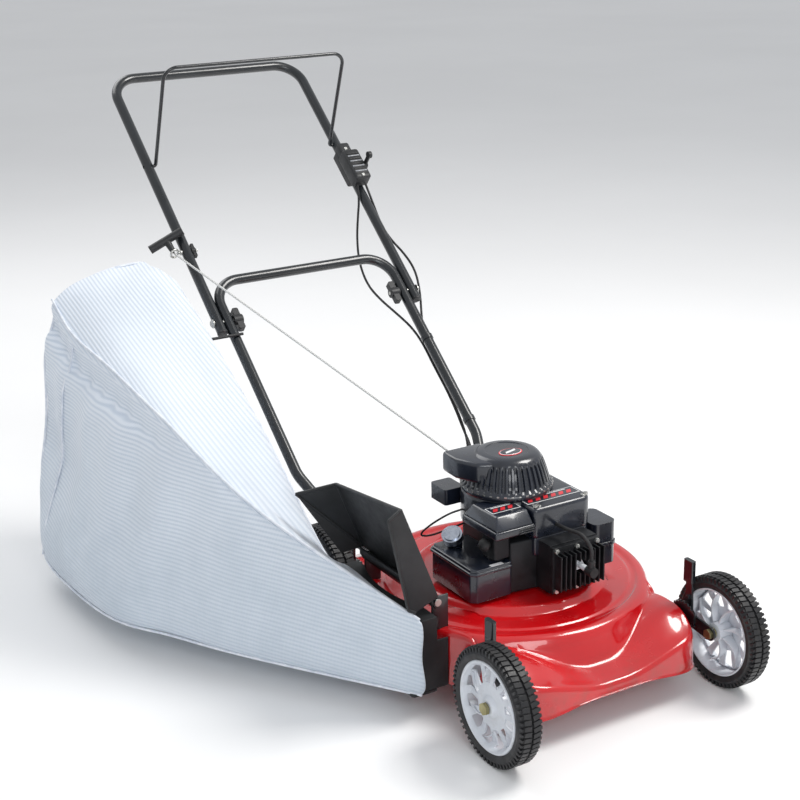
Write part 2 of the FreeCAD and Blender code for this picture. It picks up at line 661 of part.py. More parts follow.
def lower_handle():
    """Two legs that close in to the deck's brackets, and the cross bar above the fold bolts."""
    half, foot = LOWER_HALF, HANDLE_FOOT_HALF
    right = [along(-foot, FOOT_S), along(-foot, FOOT_BEND_S), along(-half, LEG_START_S), along(-half, CROSSBAR)]
    left = [V(-p.x, p.y, p.z) for p in reversed(right)]
    body = tube(right + left, [90.0, 90.0, TUBE_BEND, TUBE_BEND, 90.0, 90.0])
    holes = [rod(V(-300, FOLD_Y, FOLD_Z), X_AXIS, FOLD_BOLT_RADIUS + RUNNING, 600)]
    holes += [rod(V(p.x - 60, p.y, p.z), X_AXIS, 4.0, 120) for p in bracket_bolt_points()]
    return cut(body, *holes)


def upper_handle():
    """U-shaped upper handle outside the lower one, with holes for the bail and the rope guide."""
    half = UPPER_HALF
    points = [along(-half, UPPER_END_S), along(-half, HANDLE_LENGTH),
              along(half, HANDLE_LENGTH), along(half, UPPER_END_S)]
    body = tube(points, [TUBE_BEND, TUBE_BEND])
    bail = along(0, BAIL_PIVOT)
    guide = along(0, GUIDE_S)
    holes = [rod(V(-300, FOLD_Y, FOLD_Z), X_AXIS, FOLD_BOLT_RADIUS, 600),
             rod(V(-300, bail.y, bail.z), X_AXIS, BAIL_RADIUS + RUNNING, 600),
             rod(V(-300, guide.y, guide.z), X_AXIS, GUIDE_SHANK, 200)]
    return cut(body, *holes)


def fold_bolts():
    """Carriage bolts through both tubes, round heads outside."""
    outer = UPPER_HALF + TUBE_RADIUS
    knob_end = LOWER_HALF - TUBE_RADIUS - GAP - 22.0
    shank = rod(V(knob_end, FOLD_Y, FOLD_Z), X_AXIS, FOLD_BOLT_RADIUS, outer - knob_end)
    head = rod(V(outer, FOLD_Y, FOLD_Z), X_AXIS, 9.5, 2)
    crown = Part.makeCone(9.5, 6.0, 3, V(outer + 2, FOLD_Y, FOLD_Z), X_AXIS)
    return both_sides(fuse(shank, head, crown))


def fold_knob():
    """Left wing knob: hub round the bolt, wing up the handle and a shorter one down it."""
    x1 = LOWER_HALF - TUBE_RADIUS - GAP
    hub = rod(V(x1 - 20, 0, 0), X_AXIS, 11.0, 20)
    wing = rounded_box(x1 - 18, x1 - 4, -26, 26, -7, 7, 4)
    knob = on_handle(fuse(hub, wing))
    return cut(knob, rod(V(x1 - 30, FOLD_Y, FOLD_Z), X_AXIS, FOLD_BOLT_RADIUS + RUNNING, 40))


def bail():
    """Bent rod whose ends turn outwards into the upper handle's legs."""
    half = UPPER_HALF - TUBE_RADIUS - BAIL_RADIUS - GAP - 2
    angle = math.radians(BAIL_ANGLE)
    top_s = BAIL_PIVOT + BAIL_LENGTH * math.cos(angle)
    top_n = BAIL_LENGTH * math.sin(angle)
    right = [along(-UPPER_HALF, BAIL_PIVOT), along(-half, BAIL_PIVOT), along(-half, top_s, top_n)]
    left = [V(-p.x, p.y, p.z) for p in reversed(right)]
    corner = 6.0
    return swept(right + left, [corner, BAIL_BEND, BAIL_BEND, corner], BAIL_RADIUS)


CONTROL_S = (292.0, 412.0)
LEVER_AXIS_S, LEVER_AXIS_N = 338.0, 30.0


def control_housing():
    """Box clamped on the left leg: mounting saddle, body, and a pin for the throttle lever."""
    s0, s1 = CONTROL_S
    x0, x1 = UPPER_HALF - 22, UPPER_HALF + 20
    body = rounded_box(x0, x1, s0, s1 - 34, TUBE_RADIUS - 4, 44, 5)
    neck = rounded_box(x0 + 5, x1 - 6, s1 - 38, s1, TUBE_RADIUS - 4, 30, 4)
    saddle = box(x0 + 5, x1 - 3, s0 + 20, s1 - 8, -TUBE_RADIUS - 4, TUBE_RADIUS)
    pin = rod(V(x1, LEVER_AXIS_S, LEVER_AXIS_N), X_AXIS, 4.0, 9)
    leg = rod(V(UPPER_HALF, s0 - 40, 0), Y_AXIS, TUBE_RADIUS, s1 - s0 + 80)
    return on_handle(cut(fuse(body, neck, saddle, pin), leg))


def throttle_lever():
    """Lever with a round knob, on the control housing's outer side."""
    x0 = UPPER_HALF + 20 + GAP
    hub = rod(V(x0, LEVER_AXIS_S, LEVER_AXIS_N), X_AXIS, 9.0, 8)
    arm = box(x0 + 2, x0 + 6, LEVER_AXIS_S - 5, LEVER_AXIS_S + 5, LEVER_AXIS_N, LEVER_AXIS_N + 34)
    grip = rod(V(x0, LEVER_AXIS_S, LEVER_AXIS_N + 34), X_AXIS, 8.0, 8)
    whole = cut(fuse(hub, arm, grip), rod(V(x0 - 1, LEVER_AXIS_S, LEVER_AXIS_N), X_AXIS, 4.0 + RUNNING, 12))
    return on_handle(whole)


# ---- starter rope --------------------------------------------------------------------------
GUIDE_S = 190.0
GUIDE_SHANK = 3.0
GUIDE_EYE = along(-UPPER_HALF - 27, GUIDE_S)
ROPE_RUN = (GUIDE_EYE - ROPE_EXIT).normalize()
PULL = V(-0.25, 0.60, 0.76).normalize()


def guide_shank(start_x, length):
    return rod(V(start_x, GUIDE_EYE.y, GUIDE_EYE.z), V(-1, 0, 0), GUIDE_SHANK, length)


def rope_guide():
    """Eye bolt through the right leg, with a collar against the leg's outside."""
    inner = -UPPER_HALF + TUBE_RADIUS
    start = inner + 14
    collar = rod(V(inner - 2 * TUBE_RADIUS, GUIDE_EYE.y, GUIDE_EYE.z), V(-1, 0, 0), 6.0, 3)
    eye = Part.makeTorus(9.0, GUIDE_SHANK - 0.5, GUIDE_EYE, ROPE_RUN)
    return fuse(guide_shank(start, start - GUIDE_EYE.x - 9), collar, eye)


def guide_nut():
    """Wing nut of the eye bolt, on the leg's inside."""
    inner = -UPPER_HALF + TUBE_RADIUS
    barrel = rod(V(inner, 0, 0), X_AXIS, 7.0, 9)
    wings = rounded_box(inner + 2, inner + 9, -17, 17, -4, 4, 2)
    nut = on_handle(fuse(barrel, wings))
    nut.translate(GUIDE_EYE - along(GUIDE_EYE.x, 0))
    return cut(nut, guide_shank(inner + 14, 30))


def starter_grip():
    """T-shaped grip that rests against the rope guide."""
    lean = V(-0.7, 0, -0.7)
    bar_axis = (lean - PULL * lean.dot(PULL)).normalize()
    centre = GUIDE_EYE + PULL * 34
    bar = rod(centre - bar_axis * 40, bar_axis, 9.0, 80)
    stem = Part.makeCone(6.0, 8.0, 22, GUIDE_EYE + PULL * 8, PULL)
    rope_end = rod(GUIDE_EYE + PULL * 1.6, PULL, ROPE_RADIUS - 0.2, 10)
    return fuse(bar, stem, rope_end)


def starter_rope():
    """The rope pulled straight from the starter's outlet to the guide's eye."""
    length = (GUIDE_EYE - ROPE_EXIT).Length
    return rod(ROPE_EXIT, ROPE_RUN, ROPE_RADIUS, length)


# ---- control cables ------------------------------------------------------------------------
CLIP_S = (-130.0, -345.0)


def cable_clips():
    """Two clips round the left lower leg, each with an eye for the cables."""
    clips = []
    for s in CLIP_S:
        band = cut(rod(V(LOWER_HALF, s - 5, 0), Y_AXIS, TUBE_RADIUS + 2, 10),
                   rod(V(LOWER_HALF, s - 6, 0), Y_AXIS, TUBE_RADIUS, 12))
        clips.append(on_handle(band))
    return group(*clips)


def throttle_cable():
    """From the control housing, hanging clear of the handle, then along the leg to the carburetor."""
    points = [along(222, 290.4, 20), along(219, 262, 6), along(218, 240, -30), along(213, 206, -68), along(208, 160, -98),
              along(204, 100, -104), along(204, 42, -84), along(205, -22, -52), along(207, -80, -26),
              along(208, -130, -17), along(207.5, -190, -18.5), along(208, -250, -17.5),
              along(206, -306, -18.5), along(202, -356, -22), V(186, 716, 232), V(150, 668, 240),
              V(112, 608, 252), V(78, 546, 264), V(42, 488, 282), V(6, 446, 291), V(0, 404.6, 292)]
    return cord(points, CABLE_RADIUS, "throttle_cable")


def brake_cable():
    """From the control housing's foot down the outside of the leg to the flywheel's brake."""
    points = [along(246, 291, 16), along(250, 250, 2), along(252, 200, -12), along(254, 150, -10),
              along(262, 96, 2), along(266, 46, 4), along(258, -6, -8), along(240, -60, -20),
              along(222, -110, -22), along(216, -160, -23), along(215, -215, -24.5), along(214, -270, -24),
              along(211, -325, -25), along(204, -372, -27), V(170, 702, 222), V(142, 640, 228),
              V(116, 580, 242), V(98, 516, 260), V(80, 462, 273), V(76, 430, 276), V(76, 400.4, 276)]
    return cord(points, CABLE_RADIUS, "brake_cable")


# ---- deflector, chute and bag --------------------------------------------------------------
DEFLECTOR_OUT = V(-303, 0, 389)            # the raised deflector's free edge, seen along Y


def deflector_frame():
    """Directions of the raised deflector: up its plate, and out of its inner face."""
    up = (DEFLECTOR_OUT - V(HINGE_X, 0, HINGE_Z)).normalize()
    return up, V(-up.z, 0, up.x)


def deflector_point(y, up_distance, out_distance):
    up, out = deflector_frame()
    return V(HINGE_X, y, HINGE_Z) + up * up_distance + out * out_distance


def deflector():
    """Hood over the chute: barrel on the hinge rod, plate, front wall and flared rear wall."""
    front, back = CHUTE_FRONT + 12, CHUTE_REAR - 6
    tall = (DEFLECTOR_OUT - V(HINGE_X, 0, HINGE_Z)).Length
    wall, start, short = DEFLECTOR_WALL, 14.0, tall - 45
    p = deflector_point
    top = plate([p(front, start, 0), p(back, start, 0), p(back, short, 0), p(front, tall, 0)], wall)
    front_wall = plate([p(front, start, -wall), p(front, start, 46), p(front, start + 12, 56),
                        p(front, tall - 4, 27), p(front, tall, -wall)], wall)
    tip = p(back + 44, short, 62)
    upper_flare = plate([p(back - 2, start, -1), tip, p(back - 2, short, -1)], wall)
    lower_flare = plate([p(back - 2, start, -1), p(back + 8, start + 8, 40), tip], wall)
    beads = [rod(a, (b - a).normalize(), 2.7, (b - a).Length) for a, b in (
        (p(back - 1, start + 1, -1), p(back - 1, short - 2, -1)), (p(back - 1, start + 3, 1), tip))]
    y0, y1 = CHUTE_FRONT + 50, CHUTE_REAR - 24
    barrel = rod(V(HINGE_X, y0, HINGE_Z), Y_AXIS, HINGE_BARREL, y1 - y0)
    strap = plate([p(y0, 4, -1.5), p(y1, 4, -1.5), p(y1, start + 1, -1.5), p(y0, start + 1, -1.5)], wall + 1.5)
    whole = fuse(top, front_wall, upper_flare, lower_flare, barrel, strap, *beads)
    return cut(whole, rod(V(HINGE_X, CHUTE_FRONT, HINGE_Z), Y_AXIS, HINGE_ROD + RUNNING, 300))


def deflector_rod():
    y0, y1 = CHUTE_FRONT + 18, CHUTE_REAR - 12
    return fuse(rod(V(HINGE_X, y0, HINGE_Z), Y_AXIS, HINGE_ROD, y1 - y0),
                rod(V(HINGE_X, y0 - 2, HINGE_Z), Y_AXIS, HINGE_ROD + 2.5, 2))


def deflector_spring():
    """Torsion spring's turns, side by side on the hinge rod."""
    wire, turns = 1.4, 7
    first = CHUTE_FRONT + 28
    return group(*[Part.makeTorus(HINGE_ROD + wire + 0.6, wire, V(HINGE_X, first + i * 2.85, HINGE_Z), Y_AXIS)
                   for i in range(turns)])


def hanger_rest():
    """Where the bag's wire crosses over the right leg of the lower handle."""
    return along(0, -45.0, TUBE_RADIUS + HANGER_RADIUS + 0.3)


def bag_wire():
    """Wire welded to the chute frame: up inside the bag's ridge, then across the handle's leg."""
    rest = hanger_rest()
    points = [V(MOUTH_X + 8, CHUTE_REAR - 24, CHUTE_TOP - CHUTE_WALL - 1), V(-302, 475, 172),
              V(-308, 610, 252), V(-308, 750, 346), V(-308, rest.y, rest.z), V(-200, rest.y, rest.z)]
    return swept(points, [40.0, 60.0, 60.0, 12.0], HANGER_RADIUS)


def chute_adapter():
    """Frame between the deck's side opening and the bag's mouth, with its bottom lip."""
    outer = box(MOUTH_X, -200, CHUTE_FRONT, CHUTE_REAR, CHUTE_BOTTOM, CHUTE_TOP)
    inner = box(MOUTH_X - 1, -199, CHUTE_FRONT + CHUTE_WALL, CHUTE_REAR - CHUTE_WALL,
                CHUTE_BOTTOM + CHUTE_WALL, CHUTE_TOP - CHUTE_WALL)
    front, back = CHUTE_FRONT + 2, CHUTE_FRONT + 36
    lip = rounded_box(MOUTH_X - 14, MOUTH_X + 36, front, back, CHUTE_BOTTOM - 7, CHUTE_BOTTOM - 2.5, 6)
    lip_root = box(MOUTH_X + 1, MOUTH_X + 22, front + 6, back - 6, CHUTE_BOTTOM - 4, CHUTE_BOTTOM + 1)
    hug = upright(HOUSING_RADIUS + GAP, CHUTE_BOTTOM - 20, CHUTE_TOP + 1)
    above = box(HINGE_X - 13, -190, CHUTE_FRONT - 1, CHUTE_REAR + 1, DECK_TOP - 8, CHUTE_TOP + 1)
    frame = cut(fuse(cut(outer, inner), lip, lip_root), hug, above)
    return fuse(frame, bag_wire())


# Each station of the bag, from its mouth rearward: bottom outer, bottom inner, top inner, crown,
# top outer seam and the middle of the outer side.
BAG_STATIONS = [
    [V(MOUTH_X, 174, 48), V(MOUTH_X, 448, 48), V(MOUTH_X, 448, 186), V(MOUTH_X, 311, 187),
     V(MOUTH_X, 174, 186), V(MOUTH_X, 172, 117)],
    [V(-470, 455, 52), V(-290, 478, 52), V(-290, 478, 192), V(-345, 468, 245),
     V(-412, 455, 298), V(-448, 450, 180)],
    [V(-552, 598, 54), V(-290, 610, 54), V(-288, 606, 276), V(-380, 600, 342),
     V(-482, 592, 388), V(-524, 592, 220)],
    [V(-618, 715, 54), V(-290, 740, 54), V(-287, 740, 372), V(-390, 725, 415),
     V(-508, 700, 440), V(-568, 700, 245)],
    [V(-640, 900, 56), V(-292, 910, 56), V(-288, 890, 458), V(-370, 890, 498),
     V(-526, 890, 486), V(-592, 880, 265)],
    [V(-636, 1050, 62), V(-298, 1080, 62), V(-288, 1050, 528), V(-352, 1040, 594),
     V(-540, 1050, 512), V(-572, 1045, 280)],
    [V(-604, 1128, 120), V(-322, 1150, 120), V(-318, 1180, 572), V(-360, 1190, 600),
     V(-538, 1165, 560), V(-566, 1150, 330)],
]


def bag_section(corners, inset):
    """Section of the bag, its corners moved inset along both of their sides."""
    count = len(corners)
    moved = []
    for i, corner in enumerate(corners):
        before, after = corners[i - 1] - corner, corners[(i + 1) % count] - corner
        into, out = before.normalize(), after.normalize()
        half_turn = into.getAngle(out) / 2
        inward = into + out
        if inward.Length < 0.05:
            inward = sum(corners, V(0, 0, 0)) * (1 / count) - corner
        moved.append(corner + inward.normalize() * (inset / max(math.sin(half_turn), 0.5)))
    return moved


def faceted(stations):
    """Closed solid of triangles through the stations, with a fan at each end."""
    count = len(stations[0])
    corners = []
    for a, b in zip(stations, stations[1:]):
        for i in range(count):
            j = (i + 1) % count
            corners += [(a[i], a[j], b[j]), (a[i], b[j], b[i])]
    for end in (stations[0], stations[-1]):
        corners += [(end[0], end[i], end[i + 1]) for i in range(1, count - 1)]
    faces = [Part.Face(Part.makePolygon([p, q, r, p])) for p, q, r in corners]
    solid = Part.makeSolid(Part.makeShell(faces))
    if solid.Volume < 0:
        solid.reverse()
    return solid


def bag_form(inset, front, back):
    """The bag's form moved in by inset; front and back move its two ends along the bag."""
    stations = [bag_section(corners, inset) for corners in BAG_STATIONS]
    stations[0] = [p + V(front, 0, 0) for p in stations[0]]
    stations[-1] = [p + V(0, back, 0) for p in stations[-1]]
    return faceted(stations)


def bag():
    """Hollow cloth bag, open at its mouth, with an eyelet for the wire."""
    rest = hanger_rest()
    eyelet = rod(V(-300, rest.y, rest.z), X_AXIS, HANGER_RADIUS + 1.5, 30)
    return cut(bag_form(0, 0, 0), bag_form(BAG_WALL, 1.0, -BAG_WALL), eyelet)


# ---- the whole mower -----------------------------------------------------------------------
CORNERS = {"front_left": (1, False), "front_right": (-1, False),
           "rear_left": (1, True), "rear_right": (-1, True)}


def wheel_nodes():
    nodes = {}
    turned_tyre, turned_rim, turned_bolt = tyre(), rim(), axle_bolt()
    for corner, (side, rear) in CORNERS.items():
        axle_y = WHEELBASE if rear else 0.0
        nodes["tyre_" + corner] = to_axle(turned_tyre, side, axle_y)
        nodes["rim_" + corner] = to_axle(turned_rim, side, axle_y)
        nodes["axle_bolt_" + corner] = to_axle(turned_bolt, side, axle_y)
        nodes["height_lever_" + corner] = lever_for(side, rear)
    return nodes


PIECES = [deck_shell, notch_plates, handle_brackets, deck_bolts, deflector, deflector_rod,
          deflector_spring, chute_adapter, bag, engine_block, cylinder_head, engine_bolts,
          spark_plug, spark_lead, blower_housing, starter_housing, starter_pulley, flywheel, crankshaft,
          blade_adapter, blade, blade_bolt, carburetor, air_cleaner_cover, primer_bulb, fuel_tank,
          fuel_cap, muffler, breather_box, lower_handle, upper_handle, fold_bolts, bail,
          control_housing, throttle_lever, throttle_cable, brake_cable, cable_clips, rope_guide,
          guide_nut, starter_grip, starter_rope]


def all_nodes():
    nodes = {piece.__name__: piece() for piece in PIECES}
    knob = fold_knob()
    nodes["fold_knob_left"] = knob
    nodes["fold_knob_right"] = mirrored(knob)
    nodes.update(wheel_nodes())
    return nodes


def origin_shift(nodes):
    """Vector from the building frame to the mower's own: box middle on the ground."""
    whole = group(*nodes.values()).optimalBoundingBox(False, False)
    return V(-(whole.XMin + whole.XMax) / 2, -(whole.YMin + whole.YMax) / 2, -whole.ZMin)


def save_all():
    os.makedirs("parts", exist_ok=True)
    nodes = all_nodes()
    shift = origin_shift(nodes)
    print("origin shift", [round(value, 4) for value in shift], "nodes", len(nodes))
    for name, shape in nodes.items():
        shape.translate(shift)
        if not shape.isValid():
            print("INVALID", name)
        shape.exportStep("parts/" + name + ".step")


save_all()
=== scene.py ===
import bpy
import bmesh
import math
from mathutils import Matrix, Vector, noise


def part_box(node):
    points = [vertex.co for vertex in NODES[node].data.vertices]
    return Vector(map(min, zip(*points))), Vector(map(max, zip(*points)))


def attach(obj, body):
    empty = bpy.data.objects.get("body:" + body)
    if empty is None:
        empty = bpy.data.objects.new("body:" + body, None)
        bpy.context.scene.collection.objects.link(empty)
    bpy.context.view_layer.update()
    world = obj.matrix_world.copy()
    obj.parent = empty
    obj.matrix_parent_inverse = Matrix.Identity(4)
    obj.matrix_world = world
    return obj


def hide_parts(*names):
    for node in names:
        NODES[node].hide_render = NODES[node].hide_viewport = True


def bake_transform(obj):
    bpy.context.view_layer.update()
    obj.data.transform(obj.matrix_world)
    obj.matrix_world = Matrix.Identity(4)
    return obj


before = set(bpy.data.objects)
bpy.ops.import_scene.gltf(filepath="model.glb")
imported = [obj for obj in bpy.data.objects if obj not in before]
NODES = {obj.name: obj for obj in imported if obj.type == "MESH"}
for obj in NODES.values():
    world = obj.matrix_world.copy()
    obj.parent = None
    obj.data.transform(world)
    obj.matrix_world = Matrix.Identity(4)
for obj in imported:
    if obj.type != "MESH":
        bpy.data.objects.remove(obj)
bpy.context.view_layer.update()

# Walk-behind lawn mower: looks. Everything is in metres. at(x, y, z) takes a place from the
# mower's centreline, the front axle and the ground, and gives it in the model's own frame.

CORNERS = ("front_left", "front_right", "rear_left", "rear_right")


def middle(node):
    low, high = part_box(node)
    return (Vector(low) + Vector(high)) / 2


CENTRE_X = middle("blade_bolt").x
FRONT_Y = middle("rim_front_left").y
CRANK_Y = middle("blade_bolt").y - FRONT_Y


def at(x, y, z):
    return Vector((CENTRE_X + x, FRONT_Y + y, z))


# ---- sizes ---------------------------------------------------------------------------------
WHEEL_RADIUS = (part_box("tyre_front_left")[1][2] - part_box("tyre_front_left")[0][2]) / 2
WHEEL_HALF = (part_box("tyre_front_left")[1][0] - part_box("tyre_front_left")[0][0]) / 2
RIM_RADIUS = (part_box("rim_front_left")[1][2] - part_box("rim_front_left")[0][2]) / 2
LUG_HEIGHT = 0.0024
LUGS_ROUND = 62
RIM_SLOTS = 12
RIM_FINS = 7

DECK_HALF = 0.197
DECK_FRONT = -0.016
DECK_REAR = 0.600
DECK_SKIRT = 0.050
DECK_TOP = 0.148
DRUM_RADIUS = 0.262
PLATFORM_TOP = 0.162
PLATFORM_RADIUS = 0.168
SHEET_STEEL = 0.002
DECK_AROUND = 420                 # points round each ring of the deck
BROW = 0.012                      # rounding between the deck's top and its skirt
PRESSED_REACH = 0.281             # end of the evenly spaced rings, from the crank

DOME_FLUTES = 40

HANDLE_SLOPE = math.radians(40)
FOLD = (1.027, 0.494)             # the fold bolts, from the front axle and above the ground

BAG_RINGS = 90
BAG_AROUND = 96
BAG_THICKNESS = 0.0025
RIB_PITCH = 0.0074                # the bag cloth's woven ribs

CAMERA_PLACE = (-1.5456, -1.8947, 1.4202)
CAMERA_AZIMUTH, CAMERA_ELEVATION, CAMERA_ROLL = -30.9, 17.22, -0.93
CAMERA_LENS = 71.93
CAMERA_SHIFT = -0.0656
FLOOR_HALF = 40
FAR_CLIP = 50


def along(x, s, n=0.0):
    """Place in the handle's frame: s up the handle from the fold bolts, n above its plane."""
    y = FOLD[0] + s * math.cos(HANDLE_SLOPE) - n * math.sin(HANDLE_SLOPE)
    return at(x, y, FOLD[1] + s * math.sin(HANDLE_SLOPE) + n * math.cos(HANDLE_SLOPE))


# ---- materials -----------------------------------------------------------------------------
FACTOR_IN, DARK_IN, LIGHT_IN, COLOUR_OUT = 0, 6, 7, 2      # a colour mix node's sockets


class Finish:
    """A material's nodes, built step by step on one Principled shader."""

    def __init__(self, name, rough=0.4, metal=0.0, **sockets):
        self.material = bpy.data.materials.new(name)
        self.material.use_nodes = True
        self.tree = self.material.node_tree
        self.shader = self.tree.nodes["Principled BSDF"]
        self.put("Roughness", rough)
        self.put("Metallic", metal)
        for socket, value in sockets.items():
            self.put(socket.replace("_", " "), value)
        self.place = self.node("ShaderNodeTexCoord").outputs["Object"]

    def put(self, socket, value):
        self.shader.inputs[socket].default_value = value

    def node(self, kind, links=(), **settings):
        made = self.tree.nodes.new(kind)
        for name, value in settings.items():
            setattr(made, name, value)
        for socket, source in links:
            if isinstance(source, bpy.types.NodeSocket):
                self.tree.links.new(source, made.inputs[socket])
            else:
                made.inputs[socket].default_value = source
        return made

    def noise(self, scale, detail=4.0, rough=0.55, place=None):
        made = self.node("ShaderNodeTexNoise", [("Vector", place or self.place), ("Scale", scale),
                                                ("Detail", detail), ("Roughness", rough)])
        return made.outputs["Fac"]

    def ramp(self, source, low, high, dark, light):
        made = self.node("ShaderNodeMapRange", [("Value", source), ("From Min", low), ("From Max", high),
                                                ("To Min", dark), ("To Max", light)])
        return made.outputs["Result"]

    def math(self, operation, a, b=0.0):
        made = self.node("ShaderNodeMath", [(0, a), (1, b)], operation=operation)
        return made.outputs[0]

    def mix(self, factor, dark, light):
        made = self.node("ShaderNodeMix", data_type="RGBA")
        for index, source in ((FACTOR_IN, factor), (DARK_IN, dark), (LIGHT_IN, light)):
            if isinstance(source, bpy.types.NodeSocket):
                self.tree.links.new(source, made.inputs[index])
            else:
                made.inputs[index].default_value = source if index == FACTOR_IN else (*source, 1.0)
        return made.outputs[COLOUR_OUT]

    def drive(self, socket, source):
        self.tree.links.new(source, self.shader.inputs[socket])

    def bump(self, *layers, edge=0.0):
        """Adds bump layers (height, depth in metres) over rounded edges."""
        normal = None
        if edge:
            normal = self.node("ShaderNodeBevel", [("Radius", edge)], samples=4).outputs[0]
        for height, depth in layers:
            links = [("Height", height), ("Distance", depth), ("Strength", 1.0)]
            if normal:
                links.append(("Normal", normal))
            normal = self.node("ShaderNodeBump", links).outputs[0]
        if normal:
            self.drive("Normal", normal)

    def height(self):
        return self.node("ShaderNodeSeparateXYZ", [(0, self.place)]).outputs["Z"]

    def colours(self, dark, light, scale=9.0, low=0.35, high=0.65):
        self.drive("Base Color", self.mix(self.ramp(self.noise(scale), low, high, 0.0, 1.0), dark, light))

    def roughness(self, smooth, rough, scale=25.0):
        self.drive("Roughness", self.ramp(self.noise(scale, 6.0, 0.65), 0.3, 0.7, smooth, rough))


def red_enamel():
    f = Finish("gloss_red_enamel", Coat_Weight=1.0, Coat_Roughness=0.04)
    paint = f.mix(f.ramp(f.noise(5.0), 0.3, 0.7, 0.0, 1.0), (0.46, 0.002, 0.005), (0.60, 0.004, 0.007))
    grime = f.math("MULTIPLY", f.ramp(f.height(), 0.11, 0.05, 0.0, 0.55),
                   f.ramp(f.noise(38.0), 0.45, 0.75, 0.0, 1.0))
    f.drive("Base Color", f.mix(grime, paint, (0.16, 0.055, 0.035)))
    f.roughness(0.16, 0.30, 14.0)
    f.bump((f.noise(260.0, 2.0), 0.00003), (f.noise(7.0, 2.0), 0.0004), edge=0.002)
    return f.material


def black_enamel(name="gloss_black_enamel", edge=0.001):
    f = Finish(name, Coat_Weight=0.6, Coat_Roughness=0.08)
    f.colours((0.003, 0.005, 0.007), (0.007, 0.010, 0.013), 14.0)
    f.roughness(0.24, 0.38, 22.0)
    f.bump((f.noise(420.0, 2.0), 0.00002), edge=edge)
    return f.material


def engine_black():
    f = Finish("engine_gloss_black", Coat_Weight=0.8, Coat_Roughness=0.10)
    f.colours((0.004, 0.006, 0.012), (0.010, 0.014, 0.026), 18.0)
    f.roughness(0.22, 0.40, 30.0)
    f.bump((f.noise(900.0, 2.0), 0.00002), edge=0.0022)
    return f.material


def cast_black():
    f = Finish("cast_black", metal=0.3)
    f.colours((0.006, 0.007, 0.009), (0.020, 0.021, 0.024), 30.0)
    f.roughness(0.38, 0.62, 60.0)
    f.bump((f.noise(650.0, 5.0, 0.7), 0.00018), edge=0.0016)
    return f.material


def moulded_black(name="moulded_black", grain=1500.0, depth=0.00006, edge=0.0015):
    f = Finish(name)
    f.colours((0.010, 0.011, 0.012), (0.022, 0.023, 0.025), 12.0)
    f.roughness(0.38, 0.58, 35.0)
    f.bump((f.noise(grain, 2.0), depth), edge=edge)
    return f.material


def rubber(name="black_rubber"):
    f = Finish(name)
    f.colours((0.008, 0.008, 0.009), (0.020, 0.020, 0.021), 40.0)
    f.roughness(0.50, 0.75, 90.0)
    f.bump((f.noise(1200.0, 3.0), 0.00004))
    return f.material


def tyre_rubber():
    f = Finish("tyre_rubber")
    dust = f.math("MULTIPLY", f.ramp(f.noise(34.0, 6.0), 0.48, 0.72, 0.0, 0.5),
                  f.ramp(f.noise(3.0), 0.35, 0.65, 0.3, 1.0))
    f.drive("Base Color", f.mix(dust, (0.010, 0.010, 0.012), (0.060, 0.056, 0.050)))
    f.roughness(0.36, 0.62, 60.0)
    f.bump((f.noise(900.0, 4.0), 0.00008), edge=0.0012)
    return f.material


def white_plastic():
    f = Finish("pale_rim_plastic", Coat_Weight=0.25, Coat_Roughness=0.2)
    dirt = f.math("MULTIPLY", f.ramp(f.noise(30.0, 7.0, 0.7), 0.52, 0.78, 0.0, 0.6),
                  f.ramp(f.noise(6.0), 0.3, 0.7, 0.3, 1.0))
    f.drive("Base Color", f.mix(dirt, (0.66, 0.69, 0.74), (0.34, 0.33, 0.29)))
    f.roughness(0.30, 0.48, 40.0)
    f.bump((f.noise(700.0, 2.0), 0.00003), edge=0.0012)
    return f.material


def bare_steel(name, dark, light, smooth=0.25, rough=0.45, edge=0.0006):
    f = Finish(name, metal=1.0)
    f.colours(dark, light, 45.0)
    f.roughness(smooth, rough, 120.0)
    f.bump((f.noise(1600.0, 3.0), 0.00002), edge=edge)
    return f.material


def ground_steel():
    """Blade steel: long grinding marks and a little rust."""
    f = Finish("blade_steel", metal=1.0)
    stretched = f.node("ShaderNodeMapping", [("Vector", f.place), ("Scale", (6.0, 900.0, 900.0))]).outputs[0]
    marks = f.noise(1.0, 4.0, place=stretched)
    rust = f.ramp(f.noise(45.0, 8.0, 0.7), 0.56, 0.72, 0.0, 1.0)
    f.drive("Base Color", f.mix(rust, (0.30, 0.30, 0.31), (0.16, 0.07, 0.03)))
    f.drive("Roughness", f.ramp(marks, 0.3, 0.7, 0.28, 0.50))
    f.bump((marks, 0.00004), edge=0.0008)
    return f.material


def ceramic():
    f = Finish("glazed_ceramic", rough=0.15, Coat_Weight=0.8)
    f.colours((0.74, 0.76, 0.80), (0.84, 0.86, 0.90), 80.0)
    f.roughness(0.10, 0.25, 60.0)
    f.bump((f.noise(800.0), 0.00001))
    return f.material


